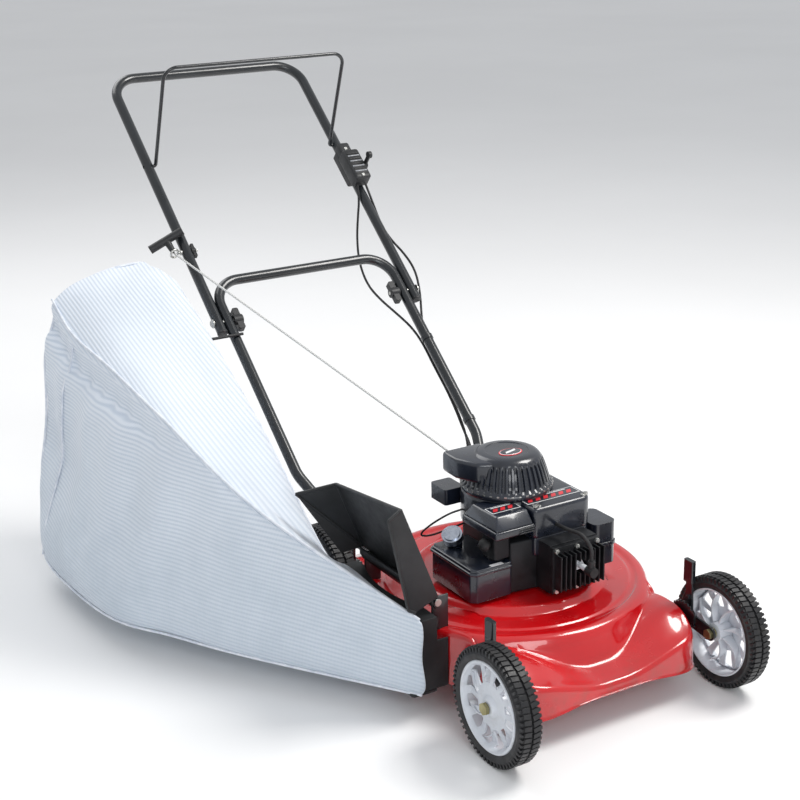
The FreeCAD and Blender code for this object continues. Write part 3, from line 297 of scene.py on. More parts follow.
def bag_cloth():
    """White cloth woven with fine ribs that run along the bag; UVs are metres of cloth."""
    f = Finish("ribbed_bag_cloth", rough=0.86, Sheen_Weight=0.25, Sheen_Roughness=0.45)
    uv = f.node("ShaderNodeUVMap", uv_map="UVMap").outputs[0]
    parts = f.node("ShaderNodeSeparateXYZ", [(0, uv)])
    rib = f.math("SINE", f.math("MULTIPLY", parts.outputs["Y"], 2 * math.pi / RIB_PITCH))
    pick = f.math("SINE", f.math("MULTIPLY", parts.outputs["X"], 2 * math.pi / (RIB_PITCH * 0.55)))
    ribs = f.ramp(rib, -1.0, 1.0, 0.0, 1.0)
    picks = f.ramp(pick, -1.0, 1.0, 0.0, 1.0)
    weave = f.math("ADD", f.math("MULTIPLY", ribs, 0.86), f.math("MULTIPLY", picks, 0.14))
    # painted shade: the darker, bluer end of this mix falls in the rib grooves, where the weave's bump is
    # low
    cloth = f.mix(f.ramp(weave, 0.05, 0.75, 0.0, 1.0), (0.60, 0.67, 0.76), (0.78, 0.83, 0.90))
    # painted shade: bluish grey blotches and a smooth fall towards the bottom of the bag stand in for its
    # shaded lower side
    shade_blotches = f.math("MULTIPLY", f.ramp(f.noise(7.0, 6.0, 0.65), 0.42, 0.75, 0.0, 0.35),
                     f.ramp(f.height(), 0.50, 0.10, 0.2, 1.0))
    painted_lower_shade = f.math("ADD", shade_blotches, f.ramp(f.height(), 0.42, 0.06, 0.0, 0.40))
    f.drive("Base Color", f.mix(painted_lower_shade, cloth, (0.42, 0.50, 0.58)))
    f.bump((f.noise(60.0, 3.0), 0.0006), (weave, 0.0006), (f.noise(2500.0, 2.0), 0.00010))
    return f.material


def seam_cloth():
    f = Finish("seam_tape", rough=0.8, Sheen_Weight=0.2)
    f.colours((0.62, 0.67, 0.75), (0.80, 0.83, 0.88), 60.0)
    f.roughness(0.7, 0.9, 80.0)
    f.bump((f.noise(1800.0, 2.0), 0.00012))
    return f.material


def braided_rope():
    """White rope: strands wound round it, on UVs of metres along and turns around."""
    f = Finish("braided_rope", rough=0.7, Sheen_Weight=0.3)
    uv = f.node("ShaderNodeUVMap", uv_map="UVMap").outputs[0]
    parts = f.node("ShaderNodeSeparateXYZ", [(0, uv)])
    turn = f.math("MULTIPLY", parts.outputs["Y"], 4.0)
    pitch = f.math("MULTIPLY", parts.outputs["X"], 90.0)
    strands = [f.math("SINE", f.math("MULTIPLY", f.math(way, pitch, turn), 2 * math.pi))
               for way in ("ADD", "SUBTRACT")]
    braid = f.ramp(f.math("MAXIMUM", *strands), -0.2, 1.0, 0.0, 1.0)
    # painted shade: the dark grey lies between the strands, where the braid's bump is low
    f.drive("Base Color", f.mix(braid, (0.42, 0.42, 0.40), (0.86, 0.86, 0.84)))
    f.bump((braid, 0.0005))
    return f.material


def flat_colour(name, dark, light, rough=0.35, coat=0.3):
    f = Finish(name, Coat_Weight=coat)
    f.colours(dark, light, 70.0)
    f.roughness(rough * 0.8, rough * 1.2, 90.0)
    f.bump((f.noise(900.0), 0.00001))
    return f.material


RED, BLACK, ENGINE = red_enamel(), black_enamel(), engine_black()
CAST, MOULDED, RUBBER = cast_black(), moulded_black(), rubber()
GRIP = moulded_black("grip_plastic", 700.0, 0.00015)
TYRE, WHITE = tyre_rubber(), white_plastic()
ZINC = bare_steel("zinc_plate", (0.46, 0.46, 0.44), (0.66, 0.66, 0.63))
BRASS = bare_steel("olive_passivated_steel", (0.30, 0.27, 0.13), (0.44, 0.40, 0.22), 0.3, 0.5)
CAP_METAL = bare_steel("cap_metal", (0.34, 0.37, 0.44), (0.56, 0.60, 0.68), 0.2, 0.38)
BLADE, CERAMIC = ground_steel(), ceramic()
CLOTH, SEAM, ROPE = bag_cloth(), seam_cloth(), braided_rope()
DECAL_WHITE = flat_colour("decal_white", (0.74, 0.75, 0.76), (0.86, 0.86, 0.87))
DECAL_RED = flat_colour("decal_red", (0.62, 0.02, 0.03), (0.76, 0.03, 0.04))
DECAL_GREY = flat_colour("decal_grey", (0.22, 0.23, 0.25), (0.34, 0.35, 0.37))

CAD_FINISHES = {
    BLACK: ["lower_handle", "upper_handle", "bail", "handle_brackets", "notch_plates", "cable_clips"],
    ZINC: ["deck_bolts", "engine_bolts", "fold_bolts", "deflector_rod", "deflector_spring", "rope_guide",
           "blade_bolt", "blade_adapter", "flywheel"],
    BLADE: ["blade", "crankshaft"],
    CAST: ["engine_block", "cylinder_head", "carburetor"],
    ENGINE: ["muffler", "breather_box", "starter_pulley"],
    MOULDED: ["deflector", "chute_adapter", "throttle_lever", "fold_knob_left", "fold_knob_right",
               "guide_nut"],
    GRIP: ["starter_grip"],
    CERAMIC: ["spark_plug"],
    CAP_METAL: ["fuel_cap"],
    RUBBER: ["primer_bulb", "spark_lead"],
    BRASS: ["axle_bolt_" + corner for corner in CORNERS],
}


def finish_cad_nodes():
    black_paddles = black_enamel("lever_black", 0.0015)
    finishes = dict(CAD_FINISHES)
    finishes[black_paddles] = ["height_lever_" + corner for corner in CORNERS]
    for material, names in finishes.items():
        for name in names:
            for slot in NODES[name].material_slots:
                slot.link = "OBJECT"
                slot.material = material


# ---- mesh helpers --------------------------------------------------------------------------
def piece(name, verts, faces, material, body, sharp=35.0, uvs=None):
    """A finished mesh piece that rides on a body. uvs are one pair per face corner."""
    mesh = bpy.data.meshes.new(name)
    mesh.from_pydata([tuple(v) for v in verts], [], faces)
    if uvs:
        layer = mesh.uv_layers.new(name="UVMap")
        for loop, pair in zip(layer.data, uvs):
            loop.uv = pair
    return dressed(name, mesh, material, body, sharp)


def dressed(name, mesh, material, body, sharp=35.0):
    mesh.materials.clear()
    mesh.materials.append(material)
    mesh.shade_smooth()
    mesh.set_sharp_from_angle(angle=math.radians(sharp))
    made = bpy.data.objects.new(name, mesh)
    bpy.context.scene.collection.objects.link(made)
    if body:
        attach(made, body)
    return made


def outward(mesh):
    """Turns a closed mesh's faces outwards."""
    edit = bmesh.new()
    edit.from_mesh(mesh)
    bmesh.ops.remove_doubles(edit, verts=edit.verts, dist=1e-6)
    bmesh.ops.recalc_face_normals(edit, faces=edit.faces)
    edit.to_mesh(mesh)
    edit.free()


def finished(made, *modifiers):
    """Applies (kind, settings) modifiers, and leaves a plain mesh."""
    for kind, settings in modifiers:
        modifier = made.modifiers.new(kind, kind)
        for key, value in settings.items():
            setattr(modifier, key, value)
    bpy.context.view_layer.update()
    evaluated = made.evaluated_get(bpy.context.evaluated_depsgraph_get())
    mesh = bpy.data.meshes.new_from_object(evaluated)
    made.modifiers.clear()
    made.data = mesh
    mesh.shade_smooth()
    return made


def grid(rows, closed_round=True, cap_first=False, cap_last=False):
    """Vertices and faces through rows of points of the same count."""
    count = len(rows[0])
    verts = [p for row in rows for p in row]
    faces = []
    for i in range(len(rows) - 1):
        for j in range(count if closed_round else count - 1):
            k = (j + 1) % count
            faces.append((i * count + j, i * count + k, (i + 1) * count + k, (i + 1) * count + j))
    if cap_first:
        faces.append(tuple(reversed(range(count))))
    if cap_last:
        faces.append(tuple((len(rows) - 1) * count + j for j in range(count)))
    return verts, faces


def round_angles(count):
    return [2 * math.pi * j / count for j in range(count)]


def round_crank(radius, angle, z):
    """Place at a radius and angle round the crank's axis."""
    return at(radius * math.cos(angle), CRANK_Y + radius * math.sin(angle), z)


def turned(profile, count, place):
    """Rows of a turned solid: place(radius, height, angle) gives each point."""
    return [[place(r, h, a) for a in round_angles(count)] for r, h in profile]


def capped(name, rows, material, body, sharp=35.0):
    """Closed piece through rows of points, flat at both ends."""
    verts, faces = grid(rows, True, True, True)
    return piece(name, verts, faces, material, body, sharp)


def bevelled(made, width):
    outward(made.data)
    finished(made, ("BEVEL", {"width": width, "segments": 3, "limit_method": "ANGLE"}))
    made.data.set_sharp_from_angle(angle=math.radians(50))


def block(name, outline, low, high, bevel, material, body, segments=3):
    """Upright solid on a plan outline of (x, y) from the front axle, its edges rounded."""
    count = len(outline)
    verts = [at(x, y, z) for z in (low, high) for x, y in outline]
    faces = [tuple(reversed(range(count))), tuple(range(count, 2 * count))]
    faces += [(i, (i + 1) % count, count + (i + 1) % count, count + i) for i in range(count)]
    mesh = bpy.data.meshes.new(name)
    mesh.from_pydata([tuple(v) for v in verts], [], faces)
    outward(mesh)
    made = dressed(name, mesh, material, body)
    settings = {"width": bevel, "segments": segments, "limit_method": "ANGLE", "harden_normals": False}
    finished(made, ("BEVEL", settings))
    made.data.set_sharp_from_angle(angle=math.radians(50))
    return made


def tube_along(name, points, radius, sides, material, body, ends=True):
    """Round tube on a smooth line of points, with UVs of metres along and turns around."""
    line = smooth_line(name, points)
    rows, lengths, total = [], [], 0.0
    side = None
    for i, p in enumerate(line):
        ahead = (line[min(i + 1, len(line) - 1)] - line[max(i - 1, 0)]).normalized()
        if side is None:
            side = ahead.orthogonal().normalized()
        side = (side - ahead * side.dot(ahead)).normalized()
        up = ahead.cross(side)
        if i:
            total += (p - line[i - 1]).length
        lengths.append(total)
        rows.append([p + (side * math.cos(a) + up * math.sin(a)) * radius
                     for a in round_angles(sides)])
    verts, faces = grid(rows, True, ends, ends)
    uvs = []
    for i in range(len(rows) - 1):
        for j in range(sides):
            pairs = ((i, j), (i, j + 1), (i + 1, j + 1), (i + 1, j))
            uvs += [(lengths[a], b / sides) for a, b in pairs]
    if ends:
        uvs += [(0.0, 0.0)] * sides + [(total, 0.0)] * sides
    return piece(name, verts, faces, material, body, 60.0, uvs), line, total


def smooth_line(name, points):
    """Points on the NURBS line through a route."""
    curve = bpy.data.curves.new(name + "_line", "CURVE")
    curve.dimensions = "3D"
    curve.resolution_u = 10
    spline = curve.splines.new("NURBS")
    spline.points.add(len(points) - 1)
    for knot, p in zip(spline.points, points):
        knot.co = (*p, 1.0)
    spline.order_u = 3
    spline.use_endpoint_u = True
    holder = bpy.data.objects.new(name + "_line", curve)
    bpy.context.scene.collection.objects.link(holder)
    mesh = bpy.data.meshes.new_from_object(holder.evaluated_get(bpy.context.evaluated_depsgraph_get()))
    line = [v.co.copy() for v in mesh.vertices]
    bpy.data.objects.remove(holder)
    bpy.data.meshes.remove(mesh)
    return line


def smooth_step(low, high, value):
    t = min(max((value - low) / (high - low), 0.0), 1.0)
    return t * t * (3 - 2 * t)


def smooth_max(a, b, blend):
    """Larger of two heights, blended where they meet."""
    h = max(blend - abs(a - b), 0.0) / blend
    return max(a, b) + h * h * blend / 4


# ---- repeated pieces by Geometry Nodes -----------------------------------------------------
def ring_tree():
    """Node tree: boxes set round a ring about the X axis, each leaning about its own radius."""
    tree = bpy.data.node_groups.new("ring_of_blocks", "GeometryNodeTree")
    inputs = {}
    for name, kind, value in (("Count", "NodeSocketInt", 12), ("Ring Radius", "NodeSocketFloat", 0.1),
                              ("Along Axle", "NodeSocketFloat", 0.0), ("Lean", "NodeSocketFloat", 0.0),
                              ("Start Angle", "NodeSocketFloat", 0.0),
                              ("Block Size", "NodeSocketVector", None),
                              ("Block Finish", "NodeSocketMaterial", None)):
        socket = tree.interface.new_socket(name, in_out="INPUT", socket_type=kind)
        if value is not None:
            socket.default_value = value
        inputs[name] = socket.identifier
    tree.interface.new_socket("Geometry", in_out="OUTPUT", socket_type="NodeSocketGeometry")
    nodes, link = tree.nodes, tree.links.new
    group, out = nodes.new("NodeGroupInput"), nodes.new("NodeGroupOutput")
    ring = nodes.new("GeometryNodeMeshCircle")
    link(group.outputs["Count"], ring.inputs["Vertices"])
    link(group.outputs["Ring Radius"], ring.inputs["Radius"])
    cube = nodes.new("GeometryNodeMeshCube")
    link(group.outputs["Block Size"], cube.inputs["Size"])
    position = nodes.new("GeometryNodeInputPosition")
    face_out = nodes.new("FunctionNodeAlignRotationToVector")
    face_out.axis = "X"
    link(position.outputs[0], face_out.inputs["Vector"])
    lean = nodes.new("FunctionNodeRotateRotation")
    lean.rotation_space = "LOCAL"
    turn = nodes.new("FunctionNodeAxisAngleToRotation")
    turn.inputs["Axis"].default_value = (1, 0, 0)
    link(group.outputs["Lean"], turn.inputs["Angle"])
    link(face_out.outputs[0], lean.inputs[0])
    link(turn.outputs[0], lean.inputs[1])
    instance = nodes.new("GeometryNodeInstanceOnPoints")
    link(ring.outputs[0], instance.inputs["Points"])
    link(cube.outputs["Mesh"], instance.inputs["Instance"])
    link(lean.outputs[0], instance.inputs["Rotation"])
    spin = nodes.new("GeometryNodeTransform")
    offset, start = nodes.new("ShaderNodeCombineXYZ"), nodes.new("ShaderNodeCombineXYZ")
    link(group.outputs["Along Axle"], offset.inputs["Z"])
    link(group.outputs["Start Angle"], start.inputs["Z"])
    link(instance.outputs[0], spin.inputs["Geometry"])
    link(offset.outputs[0], spin.inputs["Translation"])
    link(start.outputs[0], spin.inputs["Rotation"])
    upright = nodes.new("GeometryNodeTransform")
    upright.inputs["Rotation"].default_value = (0, math.pi / 2, 0)
    link(spin.outputs[0], upright.inputs["Geometry"])
    real = nodes.new("GeometryNodeRealizeInstances")
    link(upright.outputs[0], real.inputs[0])
    paint = nodes.new("GeometryNodeSetMaterial")
    link(real.outputs[0], paint.inputs["Geometry"])
    link(group.outputs["Block Finish"], paint.inputs["Material"])
    link(paint.outputs[0], out.inputs[0])
    return tree, inputs


RING_TREE, RING_INPUTS = ring_tree()


def ring_of_blocks(count, radius, across, lean, start, size, material):
    """Plain mesh of blocks round the X axis at the origin."""
    holder = bpy.data.objects.new("ring_holder", bpy.data.meshes.new("ring_holder"))
    bpy.context.scene.collection.objects.link(holder)
    modifier = holder.modifiers.new("ring", "NODES")
    modifier.node_group = RING_TREE
    values = {"Count": count, "Ring Radius": radius, "Along Axle": across, "Lean": lean,
              "Start Angle": start, "Block Size": size, "Block Finish": material}
    for name, value in values.items():
        modifier[RING_INPUTS[name]] = value
    bpy.context.view_layer.update()
    mesh = bpy.data.meshes.new_from_object(holder.evaluated_get(bpy.context.evaluated_depsgraph_get()))
    holder.modifiers.clear()
    bpy.data.objects.remove(holder)
    return mesh


# ---- wheels --------------------------------------------------------------------------------
HUBS = {corner: middle("tyre_" + corner) for corner in CORNERS}


def wheel_place(corner, across, radius, angle):
    """Point on a wheel: across is outwards along the axle from the wheel's middle."""
    hub = HUBS[corner]
    side = 1.0 if "left" in corner else -1.0
    return hub + Vector((side * across, radius * math.cos(angle), radius * math.sin(angle)))


def tyre_piece(corner):
    """Carcass turned from its profile, with rows of tread lugs and shoulder ribs."""
    half, tread = WHEEL_HALF, WHEEL_RADIUS - LUG_HEIGHT
    profile = [(RIM_RADIUS - 0.001, half - 0.004), (RIM_RADIUS + 0.003, half - 0.001),
               (RIM_RADIUS + 0.010, half),
               (tread - 0.006, half - 0.003), (tread - 0.001, half - 0.008), (tread, half - 0.012),
               (tread, 0.003), (tread - 0.002, 0.0015)]
    profile += [(r, -h) for r, h in reversed(profile)]
    rows = turned(profile, 96, lambda r, h, a: wheel_place(corner, h, r, a))
    verts, faces = grid(rows + rows[:1])
    made = piece("tyre_carcass_" + corner, verts, faces, TYRE, None)
    outward(made.data)
    hub = HUBS[corner]
    mesh = bmesh.new()
    mesh.from_mesh(made.data)
    row_width = half - 0.0075
    lugs = [(LUGS_ROUND, tread + LUG_HEIGHT / 2 - 0.0005, side * (0.002 + row_width / 2), side * 0.16,
             0.5 * side * math.pi / LUGS_ROUND, (LUG_HEIGHT + 0.001, 0.0076, row_width)) for side in (1, -1)]
    lugs += [(LUGS_ROUND, tread - 0.0042, side * (half - 0.0040), 0.0, 0.5 * side * math.pi / LUGS_ROUND,
              (0.0095, 0.0046, 0.0048)) for side in (1, -1)]
    for count, radius, across, lean, start, size in lugs:
        ring = ring_of_blocks(count, radius, across, lean, start, size, TYRE)
        ring.transform(Matrix.Translation(hub))
        mesh.from_mesh(ring)
        bpy.data.meshes.remove(ring)
    mesh.to_mesh(made.data)
    mesh.free()
    made.data.set_sharp_from_angle(angle=math.radians(35))
    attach(made, "wheel_" + corner)
    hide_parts("tyre_" + corner)
    return made


def rim_piece(corner):
    """Dished disc with slots between tapering spokes, rolled outer ring and hub."""
    steps = 6
    count = RIM_SLOTS * steps * 2
    edge = WHEEL_HALF - 0.002
    dish = [(RIM_RADIUS, -edge), (RIM_RADIUS - 0.0005, edge - 0.001), (RIM_RADIUS - 0.002, edge + 0.0008),
            (RIM_RADIUS - 0.005, edge + 0.0008), (RIM_RADIUS - 0.007, edge - 0.002),
            (RIM_RADIUS - 0.009, 0.010),
            (0.067, 0.0040), (0.060, 0.0050), (0.052, 0.0070), (0.045, 0.0090), (0.040, 0.0100),
            (0.030, 0.0105), (0.020, 0.0115), (0.016, 0.0165), (0.0125, 0.0185), (0.0066, 0.0185)]
    slot_rows = range(5, 10)
    rows = turned(dish, count, lambda r, h, a: wheel_place(corner, h, r, a))
    verts, faces = grid(rows)
    kept = []
    for index, face in enumerate(faces):
        row, column = divmod(index, count)
        share = (column % (2 * steps) + 0.5) / (2 * steps)
        if row in slot_rows and 0.20 < share < 0.78:
            continue
        kept.append(face)
    made = piece("rim_disc_" + corner, verts, kept, WHITE, None)
    outward(made.data)
    finished(made, ("SOLIDIFY", {"thickness": 0.0028, "offset": -1.0, "use_even_offset": False}),
             ("BEVEL", {"width": 0.0006, "segments": 2, "limit_method": "ANGLE"}))
    mesh = bmesh.new()
    mesh.from_mesh(made.data)
    side = 1.0 if "left" in corner else -1.0
    for i in range(RIM_FINS):
        start = 2 * math.pi * i / RIM_FINS
        top, bottom = [], []
        for k in range(9):
            t = k / 8
            radius = 0.017 + t * (RIM_RADIUS - 0.026)
            angle = start + 0.55 * t * t
            for h, rail in ((0.0085, top), (-0.012 + 0.010 * t, bottom)):
                rail.append((h, radius, angle))
        half = 0.0016
        ring = [[wheel_place(corner, h, r, a + s / r) for (h, r, a), s in
                 ((top[k], half), (top[k], -half), (bottom[k], -half), (bottom[k], half))] for k in range(9)]
        fin_verts, fin_faces = grid(ring, True, True, True)
        base = [mesh.verts.new(v) for v in fin_verts]
        for face in fin_faces:
            mesh.faces.new([base[n] for n in face])
    hub_rows = turned([(0.0066, -0.0185), (0.016, -0.0185), (0.017, 0.012), (0.0066, 0.012)], 40,
                      lambda r, h, a: wheel_place(corner, h, r, a))
    hub_verts, hub_faces = grid(hub_rows + hub_rows[:1])
    base = [mesh.verts.new(v) for v in hub_verts]
    for face in hub_faces:
        mesh.faces.new([base[n] for n in face])
    mesh.to_mesh(made.data)
    mesh.free()
    made.data.set_sharp_from_angle(angle=math.radians(40))
    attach(made, "wheel_" + corner)
    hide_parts("rim_" + corner)
    return made


# ---- deck ----------------------------------------------------------------------------------
def deck_edge(angle):
    """Distance from the crank to the deck's edge: the drum, blended into the rounded boxes."""
    c, s = abs(math.cos(angle)), abs(math.sin(angle))
    reach = CRANK_Y - DECK_FRONT if math.sin(angle) < 0 else DECK_REAR - CRANK_Y
    power = 9.0
    rounded = ((c / (DECK_HALF + 0.001)) ** power + (s / reach) ** power) ** (-1 / power)
    return smooth_max(DRUM_RADIUS - 0.001, rounded, 0.020)


def deck_height(x, y):
    """Height of the deck's top: engine platform, drum and the front and rear boxes."""
    r = math.hypot(x, y - CRANK_Y)
    fall = min(max((r - 0.246) / 0.018, 0.0), 1.0)
    drum = DECK_TOP - 0.013 * (1 - math.sqrt(1 - fall * fall)) - max(r - 0.262, 0.0) * 2.6
    drum -= 0.0028 * (smooth_step(0.224, 0.228, r) - smooth_step(0.236, 0.240, r))
    drum += (PLATFORM_TOP - DECK_TOP) * (1 - smooth_step(PLATFORM_RADIUS, PLATFORM_RADIUS + 0.016, r))
    wide = smooth_step(0.020, 0.172, abs(x))
    if y < CRANK_Y:
        valley = 0.080 + 0.012 * smooth_step(-0.01, 0.06, y) + 0.030 * smooth_step(0.10, 0.18, y)
        fender = 0.110 + 0.028 * smooth_step(-0.01, 0.075, y) - 0.010 * smooth_step(0.10, 0.17, y)
        box = valley + (fender - valley) * wide
    else:
        box = 0.136 - 0.014 * smooth_step(0.54, 0.60, y)
    return smooth_max(drum, box, 0.010)


def on_deck(radius, angle, sunk=0.0):
    """Place on the deck's top, at a radius and angle round the crank."""
    x, y = radius * math.cos(angle), CRANK_Y + radius * math.sin(angle)
    return at(x, y, deck_height(x, y) - sunk)


def deck_piece():
    """Pressed shell: rings out from the crank, a rounded brow, the skirt and its rolled lip."""
    angles = round_angles(DECK_AROUND)
    rings = [0.030, 0.10, 0.16, 0.165, 0.168, 0.171, 0.174, 0.178, 0.181, 0.184, 0.187, 0.20, 0.218,
             0.223, 0.225, 0.227, 0.229, 0.235, 0.237, 0.239, 0.241, 0.244, 0.247, 0.250, 0.253, 0.256,
             0.259, 0.262, 0.265, 0.268, 0.272, 0.276, 0.280]
    rows = []
    for radius in rings:
        row = []
        for angle in angles:
            inner = min(deck_edge(angle) - BROW, PRESSED_REACH)
            r = radius * min(1.0, inner / rings[-1])
            if radius < 0.19:
                r = radius
            row.append(on_deck(r, angle))
        rows.append(row)
    for share in (0.12, 0.25, 0.4, 0.55, 0.7, 0.85, 1.0):
        row = []
        for angle in angles:
            outer = deck_edge(angle) - BROW
            inner = min(outer, PRESSED_REACH)
            r = inner + (outer - inner) * share
            row.append(on_deck(r, angle, 0.0001 * share))
        rows.append(row)
    for step in range(1, 6):
        lean = step / 5 * math.pi / 2
        row = []
        for angle in angles:
            outer = deck_edge(angle)
            x0, y0 = (outer - BROW) * math.cos(angle), CRANK_Y + (outer - BROW) * math.sin(angle)
            r = outer - BROW + BROW * 0.82 * math.sin(lean)
            z = deck_height(x0, y0) - BROW * (1 - math.cos(lean))
            row.append(round_crank(r, angle, z))
        rows.append(row)
    first_skirt = len(rows)
    for share, push in ((0.25, 0.0006), (0.5, 0.0012), (0.75, 0.0018), (0.93, 0.0020), (0.97, 0.0036),
                        (1.0, 0.0040)):
        row = []
        for j, angle in enumerate(angles):
            x, y = deck_edge(angle) * math.cos(angle), CRANK_Y + deck_edge(angle) * math.sin(angle)
            top = rows[first_skirt - 1][j].z
            arch = 0.012 * (1 - smooth_step(0.04, 0.17, abs(x))) * (1 if y < 0.05 else 0)
            z = top + (DECK_SKIRT + arch - top) * share
            r = deck_edge(angle) - BROW * 0.18 + push
            row.append(round_crank(r, angle, z))
        rows.append(row)
    verts, faces = grid(rows)
    kept = []
    for index, face in enumerate(faces):
        row, column = divmod(index, DECK_AROUND)
        centre = sum((verts[n] for n in face), Vector()) / 4 - at(0, 0, 0)
        port = first_skirt <= row < first_skirt + 4 and centre.x < -0.15 and 0.20 < centre.y < 0.42
        if not port:
            kept.append(face)
    made = piece("pressed_deck", verts, kept, RED, None, 60.0)
    outward(made.data)
    if made.data.polygons[0].normal.z < 0:
        made.data.flip_normals()
    finished(made, ("SOLIDIFY", {"thickness": SHEET_STEEL, "offset": -1.0}))
    made.data.set_sharp_from_angle(angle=math.radians(60))
    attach(made, "deck")
    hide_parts("deck_shell")
    for y in (0.200, 0.428):
        block("hinge_ear_%d" % (y * 1000), [(-0.238, y - 0.002), (-0.205, y - 0.002), (-0.205, y + 0.002),
              (-0.238, y + 0.002)], 0.146, 0.209, 0.0012, BLACK, "deck")
    return made


# ---- engine --------------------------------------------------------------------------------
def dome_piece():
    """Fluted starter dome: crown, slanting wall with upright flutes, and beaded foot."""
    steps = 8
    count = DOME_FLUTES * steps
    profile = [(0.0830, 0.3221, 0), (0.0845, 0.3250, 0), (0.0845, 0.3290, 0), (0.0825, 0.3320, 0),
               (0.0800, 0.3345, 0.3), (0.0785, 0.3375, 1), (0.0765, 0.3450, 1), (0.0735, 0.3550, 1),
               (0.0700, 0.3650, 1), (0.0665, 0.3735, 1), (0.0645, 0.3775, 0.3), (0.0632, 0.3795, 0),
               (0.0600, 0.3835, 0), (0.0560, 0.3870, 0), (0.0510, 0.3888, 0), (0.0440, 0.3897, 0),
               (0.0400, 0.3899, 0), (0.0392, 0.3888, 0), (0.0250, 0.3886, 0), (0.0010, 0.3886, 0)]
    rows = []
    for radius, z, flute in profile:
        row = []
        for j in range(count):
            angle = 2 * math.pi * j / count
            wave = 0.0 if (j % steps) < steps * 0.5 else 1.0
            r = radius - 0.0045 * flute * wave
            row.append(round_crank(r, angle, z))
        rows.append(row)
    verts, faces = grid(rows, True, False, True)
    dome = piece("starter_dome", verts, faces, ENGINE, "deck", 45.0)
    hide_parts("starter_housing")
    outlet = [(-0.096, 0.344), (-0.078, 0.300), (-0.040, 0.280), (-0.010, 0.390), (-0.094, 0.391)]
    block("rope_outlet", outlet, 0.346, 0.3845, 0.007, ENGINE, "deck", 4)
    block("engine_casing", [(-0.066, 0.212), (0.000, 0.204), (0.000, 0.300), (-0.066, 0.300)], 0.166, 0.262,
          0.004, CAST, "deck")
    block("fan_shroud", [(-0.024, 0.1985), (0.088, 0.1985), (0.099, 0.209), (0.099, 0.300), (-0.024, 0.300)],
          0.232, 0.266, 0.003, ENGINE, "deck")
    bead = ring_of_blocks(DOME_FLUTES, 0.0838, 0.0, 0.0, 0.0, (0.0022, 0.0045, 0.0022), ZINC)
    bead.transform(Matrix.Translation(at(0, CRANK_Y, 0.3305)) @ Matrix.Rotation(math.pi / 2, 4, "Y"))
    dressed("dome_beads", bead, ZINC, "deck")


def ellipse(name, centre, half_x, half_y, thick, material):
    """Thin oval badge plate with a rounded rim."""
    profile = [(1.0, 0.0), (1.0, thick * 0.7), (0.97, thick)]
    rows = [[centre + Vector((half_x * r * math.cos(a), half_y * r * math.sin(a), z))
             for a in round_angles(48)] for r, z in profile]
    return capped(name, rows, material, "deck", 30.0)


def slab(name, centre, u, v, thick, material, body):
    """Thin plate: half sides u and v, standing thick off its centre."""
    up = u.cross(v).normalized() * thick
    corners = [centre + u * a + v * b for a, b in ((-1, -1), (1, -1), (1, 1), (-1, 1))]
    return capped(name, [corners, [c + up for c in corners]], material, body, 20.0)


def label(name, centre, half_x, half_y, thick, material):
    """Level plate on the engine."""
    slab(name, centre, Vector((half_x, 0, 0)), Vector((0, half_y, 0)), thick, material, "deck")


def badge():
    """Blank oval badge with one slanting bar on the dome."""
    top = at(0.0, CRANK_Y - 0.012, 0.3886)
    ellipse("badge_rim", top, 0.0235, 0.0160, 0.0010, DECAL_RED)
    ellipse("badge_band", top + Vector((0, 0, 0.0004)), 0.0215, 0.0142, 0.0010, DECAL_WHITE)
    ellipse("badge_field", top + Vector((0, 0, 0.0008)), 0.0205, 0.0132, 0.0010, ENGINE)
    slab("badge_bar", top + Vector((0, 0, 0.0018)), Vector((0.0120, 0.0030, 0)), Vector((0.0015, 0.0034, 0)),
         0.0004, DECAL_WHITE, "deck")


def blower_piece():
    """Fan housing: square front body with a bevelled top, and the round skirt under the dome."""
    outline = [(-0.026, 0.1965), (0.090, 0.1965), (0.1015, 0.208), (0.1015, 0.372), (0.082, 0.3995),
               (-0.020, 0.3995)]
    low, high = 0.2625, 0.3215
    made = block("blower_body", outline, low, high, 0.009, ENGINE, "deck", 4)
    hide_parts("blower_housing")
    profile = [(0.0835, low), (0.0835, 0.312), (0.0822, 0.3175), (0.078, 0.3218)]
    rows = turned(profile, 96, lambda r, h, a: round_crank(r, a, h))
    capped("blower_drum", rows, ENGINE, "deck", 40.0)
    for x in (-0.010, 0.086):
        for y in (0.206, 0.388):
            screw = "blower_screw_%d_%d" % (x * 1000, y * 1000)
            hexagon(screw, at(x, y, high - 0.001), 0.0045, 0.0035, ZINC)


def hexagon(name, foot, radius, height, material):
    rows = [[foot + Vector((r * math.cos(a), r * math.sin(a), z)) for a in round_angles(6)]
            for r, z in ((radius, 0), (radius, height * 0.8), (radius * 0.86, height))]
    return capped(name, rows, material, "deck", 20.0)


def cleaner_piece():
    """Air cleaner lid: bevelled hood over a shallow tray, with three ribs on its front."""
    tray = [(-0.111, 0.191), (-0.028, 0.191), (-0.028, 0.262), (-0.060, 0.290), (-0.064, 0.299),
            (-0.111, 0.299)]
    made = block("cleaner_tray", tray, 0.2835, 0.298, 0.003, ENGINE, "deck")
    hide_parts("air_cleaner_cover")
    low = [(-0.109, 0.193), (-0.030, 0.193), (-0.030, 0.262), (-0.062, 0.290), (-0.066, 0.297),
           (-0.109, 0.297)]
    high = [(-0.096, 0.212), (-0.030, 0.212), (-0.030, 0.258), (-0.070, 0.284), (-0.074, 0.286),
            (-0.096, 0.286)]
    rows = [[at(x, y, z) for x, y in outline] for outline, z in ((low, 0.298), (high, 0.319))]
    bevelled(capped("cleaner_hood", rows, ENGINE, "deck"), 0.003)
    for i in range(3):
        slab("cleaner_rib_%d" % i, at(-0.046, 0.1905, 0.287 + 0.0042 * i), Vector((0.015, 0, 0)),
             Vector((0, 0, 0.0009)), 0.0012, BLACK, "deck")


